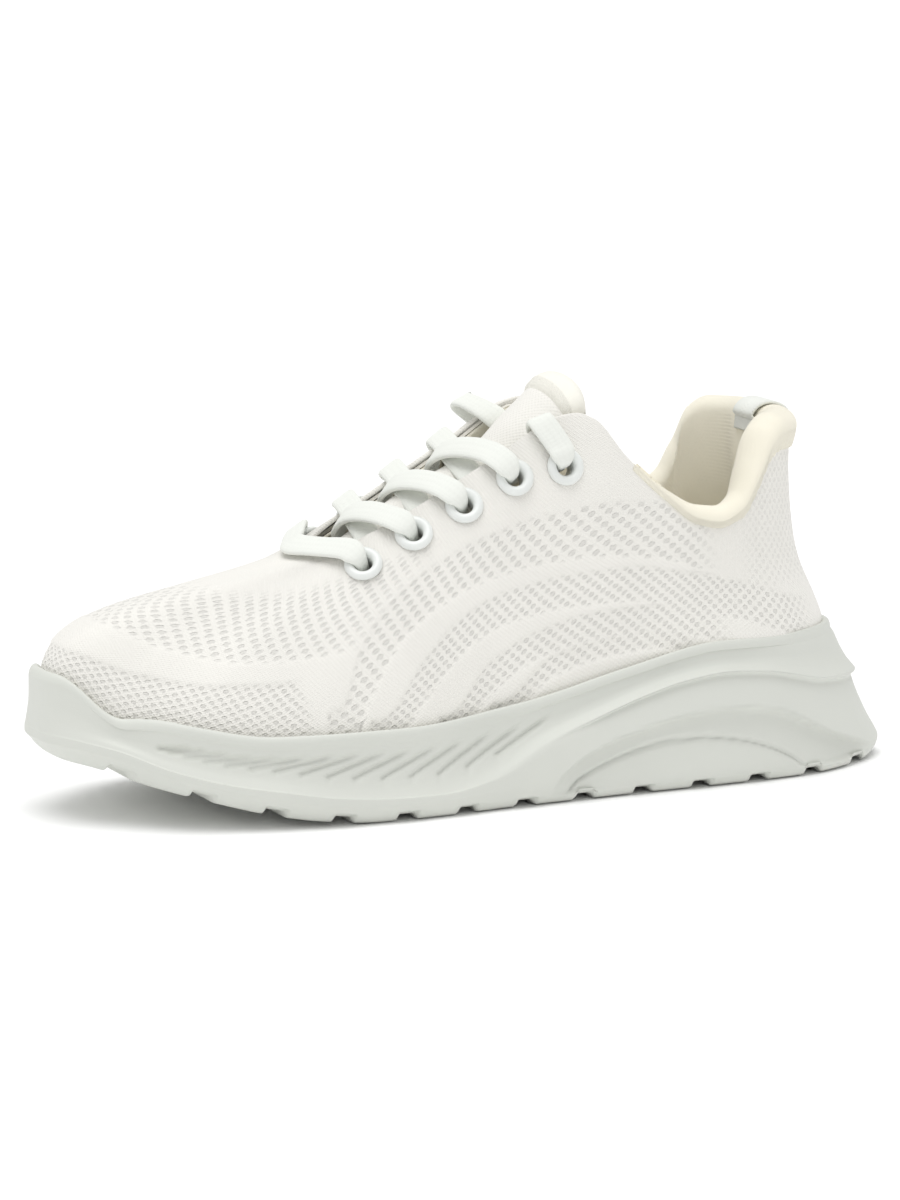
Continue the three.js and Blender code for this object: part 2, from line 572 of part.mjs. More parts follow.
// A station over or under the edge of the slot.
function atEdge(x, sign, height, bunched) {
  const angle = sign * solve(0.05, 1.9, (by) => opening(by).x - x);
  const normal = upperNormal(angle, 0.985);
  return [opening(angle).addScaledVector(normal, height), height > 0 ? normal : normal.negate(), bunched];
}
// A station over the tongue, y off the middle.
function overTongue(x, y, lift) {
  const along = solve(0, 1, (by) => tongueLine.getPointAt(by).x - x);
  const across = (tongueRadius(along) * Math.asin(y / tongueRadius(along))) / tongueHalf(along);
  const place = onTongue(along, across, -lift);
  return [place, place.clone().sub(onTongue(along, across, 0)).normalize(), 0];
}
// Between the inside of one eyelet and the outside of the next on the other side. The strands that go to
// the lateral side run on top.
function crossing(i, from) {
  const to = from === "lateral" ? "medial" : "lateral";
  const [start, end] = [spots[from][i], spots[to][i + 1]];
  const [x0, x1] = [start.place.x + 2, end.place.x + 0.8];
  const lift = to === "lateral" ? lace.thickness * 2 + 2 : lace.thickness * 0.5 + 2.5;
  const under = atEdge(x0, start.sign, -(liningDepth[1] + gap + 1.7), 0.3);
  const middle = [-9, 0, 9].map((y) => overTongue(mix(x0, x1, 0.5 + y / 40), y * start.sign, lift));
  const over = atEdge(x1, end.sign, lace.thickness / 2 + 2.8, 0);
  const last = middle.at(-1);
  const climb = [last[0].clone().add(over[0]).multiplyScalar(0.5), last[1].clone().add(over[1]).normalize(), 0];
  climb[0].addScaledVector(climb[1], 6.2);
  const rest = [...middle, climb, over];
  return [under, ...rest.map(([place, normal], k) => [place, normal.clone().negate(), k > 2 ? 0.7 : 0])];
}
const flip = (list) => list.map(([place, normal, bunched]) => [place, normal.clone().negate(), bunched]);
function strand(first) {
  const list = [];
  let side = first;
  for (let i = 0; i < eyelet.count; i += 1) {
    const hole = through(side, i);
    list.push(...(i % 2 ? flip(hole) : hole));
    if (i === eyelet.count - 1) break;
    const bridge = crossing(i, side);
    list.push(...(i % 2 ? flip(bridge) : bridge));
    side = side === "lateral" ? "medial" : "lateral";
  }
  return list;
}
const laceWidth = curve([[0, lace.width], [1, lace.bunchedWidth], [2, 2.6]]);
const laceThickness = curve([[0, lace.thickness], [1, lace.bunchedThickness], [2, 1.8]]);
function ribbon(stations, slices) {
  const path = new THREE.CatmullRomCurve3(stations.map(([place]) => place), false, "centripetal");
  const flats = new THREE.CatmullRomCurve3(stations.map(([, normal]) => normal), false, "catmullrom", 0.3);
  const last = stations.length - 1;
  const corners = 8;
  const surface = (u, v, target) => {
    const i = Math.round(u * (slices + 2));
    const along = clamp((i - 1) / slices, 0, 1);
    const centre = path.getPoint(along);
    const tangent = path.getTangent(along);
    const normal = flats.getPoint(along);
    normal.addScaledVector(tangent, -normal.dot(tangent)).normalize();
    const across = tangent.clone().cross(normal);
    const low = Math.floor(along * last);
    const part = along * last - low;
    const bunched = mix(stations[low][2], stations[Math.min(last, low + 1)][2], part);
    const turn = (Math.round(v * corners) / corners) * 2 * Math.PI + Math.PI / corners;
    const squash = 1 / Math.cos(Math.PI / corners);
    const half = laceWidth(bunched) / 2;
    const deep = laceThickness(bunched) / 2;
    const end = i === 0 || i === slices + 2 ? 0 : 1;
    const side = clamp(1.25 * Math.cos(turn), -1, 1) * half * end;
    const height = clamp(squash * Math.sin(turn), -1, 1) * deep * end;
    target.copy(centre).addScaledVector(across, side).addScaledVector(normal, height);
  };
  return closed(surface, slices + 2, corners);
}
// The bar across the first pair lies over the front end of the slot.
const throat = opening(0);
const barNormal = new THREE.Vector3(-0.45, 0, 0.9).normalize();
const barMiddle = [throat.clone().addScaledVector(barNormal, lace.thickness / 2 + 1), barNormal, 0];
const barSide = (side) => atEdge(spots[side][0].place.x - 4, spots[side][0].sign, lace.thickness / 2 + 0.9, 0);
const laced = [...strand("lateral").reverse(), barSide("lateral"), barMiddle, barSide("medial"),
  ...strand("medial")];
add("lace", ribbon(laced, 190), materials.lacing);

// Each free end is tucked down the inside of the quarter and lies forward along the insole's edge.
for (const [side, sign] of Object.entries(sides)) {
  const start = through(side, eyelet.count - 1).at(-1);
  const { normal, inward } = spots[side][eyelet.count - 1];
  const first = start[0].clone().addScaledVector(inward, -7 * gap);
  const onWall = (angle, up, depth, bunched) => [
    upperAt(sign * angle, up, depth), upperNormal(sign * angle, up), bunched];
  const wall = [[1.61, 0.6, 7, 0], [1.58, 0.46, 6.5, 0], [1.48, 0.36, 6.5, 0], [1.34, 0.3, 7, 0],
    [1.2, 0.27, 8, 0], [1.08, 0.26, 9.5, 0.6]].map((station) => onWall(...station));
  const last = wall.at(-1);
  const heading = last[0].clone().sub(wall.at(-2)[0]).normalize();
  const tail = (by) => [last[0].clone().addScaledVector(heading, by), last[1], 2];
  add(`lace_end_${side}`, ribbon([[first, normal, 1], ...wall, tail(6), tail(22)], 36), materials.lacing);
  const cup = lathe([[0, 0], [aglet.outside, 0], [aglet.outside, aglet.length], [aglet.inside, aglet.length],
    [aglet.inside, 1], [0, 1]], 12);
  const mouth = tail(22 + 1 + gap)[0];
  const turn = new THREE.Quaternion().setFromUnitVectors(zAxis, heading.clone().negate());
  add(`aglet_${side}`, cup, materials.clear, mouth, turn);
}

// The origin is at the middle of the footprint, on the ground.
const bounds = new THREE.Box3().setFromObject(shoe);
const middle = bounds.getCenter(new THREE.Vector3());
shoe.position.set(-middle.x, -middle.y, -bounds.min.z);
export default shoe;
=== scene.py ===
"""A knit running shoe for the left foot: its skins, foam sole, lace and materials round its CAD frame."""

import math

import bpy
import numpy as np
from mathutils import Matrix, Vector


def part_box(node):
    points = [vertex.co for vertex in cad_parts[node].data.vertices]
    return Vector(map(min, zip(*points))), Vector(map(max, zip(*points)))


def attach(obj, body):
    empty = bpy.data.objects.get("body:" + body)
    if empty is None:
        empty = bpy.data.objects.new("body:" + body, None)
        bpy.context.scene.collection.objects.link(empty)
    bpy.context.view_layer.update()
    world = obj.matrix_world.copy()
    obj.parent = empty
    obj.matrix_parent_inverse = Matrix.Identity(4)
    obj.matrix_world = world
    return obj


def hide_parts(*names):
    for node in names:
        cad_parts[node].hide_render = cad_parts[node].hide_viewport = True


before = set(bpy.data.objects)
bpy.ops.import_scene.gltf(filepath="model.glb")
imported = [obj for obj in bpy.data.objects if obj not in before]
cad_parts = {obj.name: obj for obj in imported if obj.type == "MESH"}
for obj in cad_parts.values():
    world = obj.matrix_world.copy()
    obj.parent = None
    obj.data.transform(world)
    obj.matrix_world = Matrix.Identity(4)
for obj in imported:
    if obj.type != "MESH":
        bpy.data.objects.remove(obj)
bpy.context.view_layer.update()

bl_info = {
    "name": "Knit Running Shoe",
    "version": (1, 0, 0),
    "blender": (4, 5, 0),
    "location": "View3D > Sidebar > Shoe",
    "description": "Builds a knit running shoe, laced, round its frame",
    "category": "Add Mesh",
}

MM = 0.001
TURN = 2 * math.pi


# ---------------------------------------------------------------- sizes and colours
def size(name, description, value_mm):
    return bpy.props.FloatProperty(name=name, description=description, default=value_mm * MM, unit="LENGTH",
                                   precision=4)


def colour(name, description, hex_value):
    return bpy.props.FloatVectorProperty(name=name, description=description, default=linear(hex_value),
                                         subtype="COLOR", size=3, min=0, max=1)


def linear(hex_value):
    """The linear colour of an sRGB hex value."""
    channels = [((hex_value >> shift) & 255) / 255 for shift in (16, 8, 0)]
    return tuple(c / 12.92 if c <= 0.04045 else ((c + 0.055) / 1.055) ** 2.4 for c in channels)


class ShoeSizes(bpy.types.PropertyGroup):
    """Sizes of the finished pieces"""
    sole_length: size("Sole length", "Length of the sole", 284)
    forefoot_width: size("Forefoot width", "Width across the flare at the ball of the foot", 98)
    waist_width: size("Waist width", "Width of the sole under the arch", 84)
    heel_width: size("Heel width", "Width across the flare at the heel", 78)
    toe_spring: size("Toe spring", "Lift of the front of the tread", 20)
    forefoot_stack: size("Forefoot stack", "Foam under the ball of the foot", 17)
    heel_stack: size("Heel stack", "Foam under the heel", 32)
    cup_depth: size("Cup depth", "Height of the rim above the footbed", 11)
    toe_bumper: size("Toe bumper", "Extra height of the rim round the toe", 12.5)
    rim_bead: size("Rim bead", "Thickness of the rim of the cup", 2.4)
    side_flare: size("Side flare", "Overhang of the sole along the sides", 4)
    heel_flare: size("Heel flare", "Overhang of the sole behind the rim", 18)
    tread_pitch: size("Tread pitch", "Distance between the tread's grooves", 20.5)
    tread_depth: size("Tread depth", "Depth of the tread's grooves", 1.9)
    knit_thickness: size("Knit thickness", "Thickness of the knit", 1.5)
    throat: size("Throat", "Place of the front end of the lacing slot", -54)
    collar_back: size("Collar back", "Place of the back of the collar", 107)
    eyestay_top: size("Eyestay top", "Height of the front corners of the collar", 117)
    collar_low: size("Collar low point", "Height of the knit below the ankle", 82)
    heel_top: size("Heel top", "Height of the knit at the heel", 108)
    pad_front: size("Front padding", "Thickness of the collar beside the tongue", 4.3)
    pad_heel: size("Heel padding", "Thickness of the padded collar round the heel", 9.5)
    lace_width: size("Lace width", "Width of the flat lace", 8.2)
    lace_thickness: size("Lace thickness", "Thickness of the flat lace", 2.4)
    eyelet_flange: size("Eyelet flange", "Outer radius of an eyelet", 5.9)
    eyelet_hole: size("Eyelet hole", "Inner radius of an eyelet", 2.8)
    tongue_width: size("Tongue width", "Width of the tongue at the top", 43)
    tape_width: size("Tape width", "Width of the pull tape at the heel", 14)
    small_pitch: size("Small mesh pitch", "Distance between the openings of the fine mesh", 2.4)
    large_pitch: size("Large mesh pitch", "Distance between the openings of the open mesh", 3.3)


class ShoeColours(bpy.types.PropertyGroup):
    """Colours of the finishes"""
    foam: colour("Foam", "Moulded foam of the sole", 0xD9DBD4)
    knit: colour("Knit", "Yarn of the upper", 0xF2F0EA)
    cream: colour("Cream", "Lining of the collar and the tongue", 0xF8F3E2)
    tongue: colour("Tongue lining", "Brushed jersey at the top of the tongue", 0xFCFAF0)
    lace: colour("Lace", "Yarn of the lace", 0xEDEFE9)
    eyelet: colour("Eyelet", "Moulded rings", 0xEBEEEB)
    board: colour("Board", "Fibre board and stiffeners", 0xECE9E0)
    floor: colour("Floor", "Studio floor", 0xFFFFFF)


def shoe_mm():
    """Every size in millimetres, by name."""
    sizes = bpy.context.scene.shoe_sizes
    return {key: getattr(sizes, key) / MM for key in ShoeSizes.__annotations__}


def tint(name):
    return tuple(getattr(bpy.context.scene.shoe_colours, name))


# ---------------------------------------------------------------- curves
def mix(a, b, share):
    return a + (b - a) * share


def ease(a, b, x):
    t = np.clip((np.asarray(x, float) - a) / (b - a), 0, 1)
    return t * t * (3 - 2 * t)


def bell(x, centre, half):
    """1 at the centre and 0 beyond the half width, with soft ends."""
    return np.clip(1 - ((np.asarray(x, float) - centre) / half) ** 2, 0, 1) ** 2


def curve(*pairs):
    """A smooth curve through (place, value) pairs that never overshoots them. Values may be arrays."""
    x = np.array([p[0] for p in pairs], float)
    y = np.array([p[1] for p in pairs], float)
    step = np.diff(x).reshape((-1,) + (1,) * (y.ndim - 1))
    slope = np.diff(y, axis=0) / step
    tangent = np.zeros_like(y)
    product = slope[:-1] * slope[1:]
    total = np.where(np.abs(slope[:-1] + slope[1:]) < 1e-12, 1, slope[:-1] + slope[1:])
    tangent[1:-1] = np.where(product > 0, 2 * product / total, 0)

    def value(place):
        place = np.clip(np.asarray(place, float), x[0], x[-1])
        i = np.clip(np.searchsorted(x, place) - 1, 0, len(x) - 2)
        span = x[i + 1] - x[i]
        t = (place - x[i]) / span
        if y.ndim > 1:
            t, span = t[..., None], span[..., None]
        rise = y[i + 1] - y[i]
        a, b = tangent[i] * span - rise, rise - tangent[i + 1] * span
        return y[i] + rise * t + t * (1 - t) * (a * (1 - t) + b * t)

    return value


def unit(v):
    return v / np.maximum(np.linalg.norm(v, axis=-1, keepdims=True), 1e-9)


# ---------------------------------------------------------------- the last: rings round the foot
class Last:
    """The surfaces of the shoe. A ring's angle is 0 at the toe and PI at the heel, by the lateral side."""

    def __init__(self):
        s = self.s = shoe_mm()
        self.toe = -s["sole_length"] / 2
        fore, waist, heel = (s[key] / 2 for key in ("forefoot_width", "waist_width", "heel_width"))
        spring, front, back = s["toe_spring"], s["forefoot_stack"], s["heel_stack"]
        self.half = curve((0, .76 * fore), (.058, .88 * fore), (.13, 1.06 * fore), (.24, 1.09 * fore),
                          (.36, 1.02 * fore), (.5, waist + 1), (.64, waist - 1), (.78, 1.12 * heel),
                          (.887, 1.2 * heel), (.96, 1.1 * heel), (1, heel))
        self.centre = curve((0, 6), (.06, 4.8), (.13, 3.4), (.25, 1.5), (.36, -.5), (.5, -2.5), (.64, -3),
                            (.8, -2), (1, 0))
        self.tread = curve((0, spring - 1), (.046, .86 * spring), (.102, .6 * spring), (.15, .42 * spring),
                           (.211, .2 * spring), (.26, .08 * spring), (.33, 0), (.94, 0), (1, 2))
        self.footbed = curve((0, front + .8 * spring), (.06, front + .5 * spring), (.13, front + .2 * spring),
                             (.22, front), (.37, front), (.5, mix(front, back, .25)),
                             (.63, mix(front, back, .72)), (.75, back + .6), (.85, back), (1, back))
        self.ridge = curve((0, spring + 8), (.06, spring + 5), (.109, 19.5), (.165, 15.2), (.225, 12.5),
                           (.285, 9.8), (.352, 8.4), (.4, 8.2), (.46, 11), (.53, 20), (.595, 26.2),
                           (.65, 31.2), (.7, 34.6), (.75, 36), (.8, 35), (.86, 31.4), (.89, 29.6), (1, 28))
        self.rim_inset = np.array([3.4, s["side_flare"] + 1.2, s["heel_flare"] + 1.5])
        self.cup_inset = self.rim_inset + s["rim_bead"] - 1
        self.foot_inset = self.cup_inset + 1.3
        self.opening_half = curve((0, 20.5), (.1, 20.5), (.3, 19.8), (.48, 20.9), (.6, 26.5), (.75, 33),
                                  (.88, 37), (1, 34))
        top, low, high = s["eyestay_top"], s["collar_low"], s["heel_top"]
        throat = lambda t: top - .54 * (23.5 - self.opening_x(t))
        self.opening_z = curve((0, throat(0) + 1.5), (.1, throat(.1)), (.34, throat(.34)), (.47, top - .8),
                               (.505, top), (.54, top - 2), (.6, mix(low, top, .6)),
                               (.68, mix(low, top, .24)), (.74, low + 1.4), (.785, low), (.83, low + 3.5),
                               (.865, mix(low, high, .5)), (.9, high - 3), (.935, high), (1, high))
        self.first_rise = curve((0, 36), (.05, 27), (.12, 22), (.25, 22), (.5, 30), (.75, 24), (1, 20))
        self.first_lean = curve((0, 8), (.05, 4), (.1, 2.5), (.3, 1.5), (.6, 1), (.85, -1), (1, -5))
        self.last_reach = curve((0, 44), (.05, 36), (.1, 30), (.25, 24), (.5, 15), (.7, 4), (1, -3))
        self.last_drop = curve((0, 15), (.05, 18), (.1, 20), (.25, 20), (.5, 22), (.75, 16), (1, 24))
        # The CAD frame has its origin in the middle of the footprint, so the rings are moved to it.
        outline = self.ring(np.linspace(0, TURN, 257), np.array([1, 0, 1.5]), self.tread)
        low_box, high_box = (np.array(corner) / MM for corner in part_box("sole_unit"))
        self.shift = np.array([low_box[0] - outline[:, 0].min(),
                               (low_box[1] + high_box[1] - outline[:, 1].min() - outline[:, 1].max()) / 2, 0])

    def share(self, x):
        return (x - self.toe) / self.s["sole_length"]

    def rim(self, share):
        s = self.s
        bumper = s["toe_bumper"] * (1 - ease(.018, .075, share))
        lift = bumper - .55 * s["toe_spring"] * (1 - ease(0, .12, share))
        return self.footbed(share) + s["cup_depth"] + lift + 1.6 * ease(.55, .75, share)

    def opening_x(self, t):
        return mix(self.s["throat"], self.s["collar_back"], t)

    def ring(self, angle, inset, height):
        """Points of a ring: inset is (toe, side, heel), and height a function of the share of the length."""
        t = (1 - np.cos(angle)) / 2
        side = -np.sign(np.sin(angle))
        x = mix(self.toe + inset[..., 0], self.toe + self.s["sole_length"] - inset[..., 2], t)
        y = self.centre(t) + side * (self.half(t) - inset[..., 1]) * np.abs(np.sin(angle)) ** .62
        return np.stack([x, y, height(self.share(x)) + 0 * x], -1)

    def foot(self, angle):
        return self.ring(angle, self.foot_inset, lambda s: self.footbed(s) + .6)

    def opening(self, angle):
        t = (1 - np.cos(angle)) / 2
        side = -np.sign(np.sin(angle))
        half = self.opening_half(t) * np.abs(np.sin(angle)) ** .55
        return np.stack([self.opening_x(t), side * half, self.opening_z(t)], -1)

    def upper(self, angle, up):
        """A point of the knit's outer face: up runs along a rib, from the cup at 0 to the opening at 1."""
        angle, up = np.broadcast_arrays(np.asarray(angle, float), np.asarray(up, float))
        t = (1 - np.cos(angle)) / 2
        a, d = self.foot(angle), self.opening(angle)
        out = np.stack([-np.cos(angle), -np.sin(angle), 0 * angle], -1)
        back = unit((a - d) * [1, 1, 0])
        blend = ease(.8, .95, t)[..., None]
        back = np.where(t[..., None] > .8, unit(back * (1 - blend) + out * blend), back)
        b = a + out * self.first_lean(t)[..., None]
        b[..., 2] += self.first_rise(t)
        c = d + back * self.last_reach(t)[..., None]
        c[..., 2] -= self.last_drop(t)
        u = up[..., None]
        return a * (1 - u) ** 3 + 3 * b * u * (1 - u) ** 2 + 3 * c * u * u * (1 - u) + d * u ** 3

    def normal(self, angle, up, step=.012):
        across = self.upper(angle + step, up) - self.upper(angle - step, up)
        rise = self.upper(angle, np.minimum(1, up + step)) - self.upper(angle, np.maximum(0, up - step))
        return unit(np.cross(across, rise))

    def at(self, angle, up, depth=0., rise=0.):
        """A point inside the upper's face by a depth, carried on past the top edge by a rise."""
        values = (np.asarray(v, float) for v in (angle, up, depth, rise))
        angle, up, depth, rise = np.broadcast_arrays(*values)
        point = self.upper(angle, up) - self.normal(angle, up) * depth[..., None]
        along = unit(self.upper(angle, 1. + 0 * up) - self.upper(angle, .97 + 0 * up))
        return point + along * rise[..., None]

    def pad(self, t, up):
        """How far the collar's padding reaches inside the knit's face."""
        s = self.s
        full = mix(s["pad_front"] + 1.3, s["pad_heel"], ease(.62, .86, t))
        return mix(4.78, full, ease(.2, .75, up))

    def roll_height(self, t):
        return np.minimum(4, .8 * self.pad(t, 1))


def solve(low, high, rising):
    for _ in range(40):
        middle = (low + high) / 2
        if rising(middle) > 0:
            high = middle
        else:
            low = middle
    return (low + high) / 2


# ---------------------------------------------------------------- meshes
def grid(name, columns, rows, place, uv=None, attributes=None, merge=True, body="shoe"):
    """A primitive grid shaped over a surface. place(u, v) takes arrays from 0 to 1 and gives millimetres."""
    bpy.ops.object.select_all(action="DESELECT")
    bpy.ops.mesh.primitive_grid_add(x_subdivisions=columns, y_subdivisions=rows, size=2)
    obj = bpy.context.object
    obj.name = name
    mesh = obj.data
    mesh.name = name
    flat = np.empty(len(mesh.vertices) * 3)
    mesh.vertices.foreach_get("co", flat)
    u, v = ((flat.reshape(-1, 3)[:, i] + 1) / 2 for i in (0, 1))
    u, v = np.clip(u, 0, 1), np.clip(v, 0, 1)
    points = (place(u, v) + LAST.shift) * MM
    mesh.vertices.foreach_set("co", points.ravel())
    corner = np.empty(len(mesh.loops), int)
    mesh.loops.foreach_get("vertex_index", corner)
    layer = mesh.uv_layers[0]
    layer.name = "surface"
    for index, (key, function) in enumerate((uv or {}).items()):
        target = layer if index == 0 else mesh.uv_layers.new(name=key)
        target.name = key
        target.data.foreach_set("uv", np.stack(function(u, v), -1)[corner].ravel())
    for key, function in (attributes or {}).items():
        target = mesh.attributes.new(key, "FLOAT", "POINT")
        target.data.foreach_set("value", np.asarray(function(u, v), float))
    mesh.update()
    if merge:
        tidy(obj)
    bpy.ops.object.shade_smooth()
    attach(obj, body)
    return obj


def tidy(obj, distance=2e-6):
    """Closes the seams of a shape and turns its faces out."""
    only(obj)
    bpy.ops.object.mode_set(mode="EDIT")
    bpy.ops.mesh.select_all(action="SELECT")
    bpy.ops.mesh.remove_doubles(threshold=distance)
    bpy.ops.mesh.dissolve_degenerate(threshold=1e-7)
    bpy.ops.mesh.select_all(action="SELECT")
    bpy.ops.mesh.normals_make_consistent(inside=False)
    bpy.ops.object.mode_set(mode="OBJECT")


def only(obj):
    bpy.ops.object.select_all(action="DESELECT")
    obj.select_set(True)
    bpy.context.view_layer.objects.active = obj


def modify(obj, kind, **settings):
    only(obj)
    modifier = obj.modifiers.new(kind.lower(), kind)
    for key, value in settings.items():
        setattr(modifier, key, value)
    bpy.ops.object.modifier_apply(modifier=modifier.name)


def spaced(stops):
    """Turns an even 0 to 1 into rows: stops are (value, number of rows up to the next)."""
    values = [stops[0][0]]
    for (a, count), (b, _) in zip(stops, stops[1:]):
        values += [mix(a, b, (k + 1) / count) for k in range(count)]
    values = np.array(values)
    return len(values) - 1, lambda v: np.interp(v, np.linspace(0, 1, len(values)), values)


# ---------------------------------------------------------------- materials
def node(tree, kind, inputs=None, **settings):
    """Adds a node with its settings. An input that is a socket is linked, and any other is a value."""
    made = tree.nodes.new(kind)
    for key, value in settings.items():
        setattr(made, key, value)
    for key, value in (inputs or {}).items():
        if isinstance(value, bpy.types.NodeSocket):
            tree.links.new(value, made.inputs[key])
        else:
            made.inputs[key].default_value = value
    return made.outputs[0]


def material(name, finish, base=None, bump=None):
    """A material whose shader takes constants from finish. base and bump draw its colour and relief."""
    made = bpy.data.materials.new(name)
    made.use_nodes = True
    tree = made.node_tree
    shader = tree.nodes["Principled BSDF"]
    for key, value in finish.items():
        shader.inputs[key].default_value = value
    if base:
        tree.links.new(base(tree), shader.inputs["Base Color"])
    if bump:
        tree.links.new(bump(tree), shader.inputs["Normal"])
    return made


def math_node(tree, operation, *values):
    return node(tree, "ShaderNodeMath", dict(enumerate(values)), operation=operation)


def object_noise(tree, size_mm, detail=2.0, roughness=0.5):
    """Noise whose patches are about size_mm across, fixed on the object."""
    place = node(tree, "ShaderNodeTexCoord").node.outputs["Object"]
    return node(tree, "ShaderNodeTexNoise", {"Vector": place, "Scale": 1 / (size_mm * MM), "Detail": detail,
                                             "Roughness": roughness})


def lattice(tree, uv_name, scale=1.0):
    """A staggered lattice of peaks, two to each unit of the UV map: 1 at a peak, -1 between rows."""
    uv = node(tree, "ShaderNodeUVMap", uv_map=uv_name)
    split = node(tree, "ShaderNodeSeparateXYZ", {"Vector": uv}).node
    turns = [math_node(tree, "MULTIPLY", split.outputs[i], TURN * scale) for i in (0, 1)]
    return math_node(tree, "MULTIPLY", *(math_node(tree, "COSINE", turn) for turn in turns))


def remap(tree, value, low, high, to_low=0.0, to_high=1.0):
    limits = {"Value": value, "From Min": low, "From Max": high, "To Min": to_low, "To Max": to_high}
    return node(tree, "ShaderNodeMapRange", limits, interpolation_type="SMOOTHSTEP")


def blend_colour(tree, factor, a, b):
    """Colour a where the factor is 0 and b where it is 1. a may be a socket."""
    made = tree.nodes.new("ShaderNodeMix")
    made.data_type = "RGBA"
    tree.links.new(factor, made.inputs[0])
    if isinstance(a, bpy.types.NodeSocket):
        tree.links.new(a, made.inputs[6])
    else:
        made.inputs[6].default_value = (*a, 1)
    made.inputs[7].default_value = (*b, 1)
    return made.outputs[2]


def relief(tree, height, distance_mm, strength=1.0, under=None):
    inputs = {"Height": height, "Distance": distance_mm * MM, "Strength": strength}
    if under is not None:
        inputs["Normal"] = under
    return node(tree, "ShaderNodeBump", inputs)


def shade(rgb, factor):
    return tuple(c * factor for c in rgb)


def knit_material(name, yarn):
    """Polyester yarn, flat-knitted: matt, with fine rows of stitches and sunk cells in its bands, whose
    darkness is painted shade.
    """
    def opening_mask(tree):
        openness = node(tree, "ShaderNodeAttribute", attribute_name="openwork").node.outputs["Fac"]
        ragged = remap(tree, object_noise(tree, 1.2), .3, .7, -.1, .1)
        peaks = math_node(tree, "ADD", lattice(tree, "mesh_cells"), ragged)
        return math_node(tree, "MULTIPLY", remap(tree, peaks, .05, .7), openness)

    def base(tree):
        drift = remap(tree, object_noise(tree, 30), .3, .7)
        cloth = blend_colour(tree, drift, shade(yarn, .97), yarn)
        # The mesh openings are painted darker: painted shade seen through the holes.
        hole_shade = math_node(tree, "MULTIPLY", opening_mask(tree), .38)
        return blend_colour(tree, hole_shade, cloth, shade(yarn, .58))

    def bump(tree):
        stitches = lattice(tree, "stitches")
        fuzz = relief(tree, object_noise(tree, .8, 3), .10, .5)
        fine = relief(tree, stitches, .08, .8, fuzz)
        sunk = math_node(tree, "MULTIPLY", opening_mask(tree), -1.0)
        return relief(tree, sunk, .3, .8, fine)

    finish = {"Roughness": .85, "Specular IOR Level": .25, "Sheen Weight": .25, "Sheen Roughness": .5}
    return material(name, finish, base, bump)


def cloth_material(name, yarn, pitch_mm, depth_mm=.04, drift=.97):
    """Brushed jersey or woven tape: fine staggered loops, a little fuzz, no gloss."""
    def base(tree):
        patches = remap(tree, object_noise(tree, 18), .3, .7)
        return blend_colour(tree, patches, shade(yarn, drift), yarn)

    def bump(tree):
        loops = lattice(tree, "surface", 1 / (pitch_mm * MM))
        fuzz = relief(tree, object_noise(tree, .8, 3), .08, .5)
        return relief(tree, loops, depth_mm, .8, fuzz)

    finish = {"Roughness": .92, "Specular IOR Level": .2, "Sheen Weight": .3, "Sheen Roughness": .5}
    return material(name, finish, base, bump)


def foam_material(name, rgb, roughness=.5):
    """Injection-moulded EVA foam: a satin skin with a faint orange peel, a little light going in."""
    def base(tree):
        patches = remap(tree, object_noise(tree, 45), .3, .7)
        return blend_colour(tree, patches, shade(rgb, .975), rgb)

    def bump(tree):
        skin = relief(tree, object_noise(tree, 1.1, 2), .05, .35)
        return relief(tree, object_noise(tree, 6, 1), .12, .25, skin)

    finish = {"Roughness": roughness, "Specular IOR Level": .35, "IOR": 1.5}
    return material(name, finish, base, bump)


def plastic_material(name, rgb, roughness=.35):
    """Moulded nylon or clear film: smooth and slightly glossy, with a faint mould texture."""
    def base(tree):
        patches = remap(tree, object_noise(tree, 5), .3, .7)
        return blend_colour(tree, patches, shade(rgb, .96), rgb)

    def bump(tree):
        return relief(tree, object_noise(tree, .9, 2), .02, .4)

    return material(name, {"Roughness": roughness, "Specular IOR Level": .5, "IOR": 1.52}, base, bump)


def board_material(name, rgb, grain_mm=1.5):
    """Pressed cellulose or non-woven fibre: matt, speckled with short fibres."""
    def base(tree):
        fibres = remap(tree, object_noise(tree, grain_mm, 4, .7), .35, .65)
        return blend_colour(tree, fibres, shade(rgb, .86), rgb)

    def bump(tree):
        return relief(tree, object_noise(tree, grain_mm / 2, 3), .1, .5)

    return material(name, {"Roughness": .9, "Specular IOR Level": .2}, base, bump)


def sponge_material(name, rgb):
    """Open-cell polyurethane foam: soft, full of small pores, with painted shade in them."""
    def pores(tree):
        place = node(tree, "ShaderNodeTexCoord").node.outputs["Object"]
        return node(tree, "ShaderNodeTexVoronoi", {"Vector": place, "Scale": 1 / (.9 * MM)})

    def base(tree):
        # The pores are painted darker, as shade inside them.
        return blend_colour(tree, remap(tree, pores(tree), .1, .5), shade(rgb, .8), rgb)

    def bump(tree):
        return relief(tree, pores(tree), .2, .5)

    return material(name, {"Roughness": .95, "Specular IOR Level": .15}, base, bump)


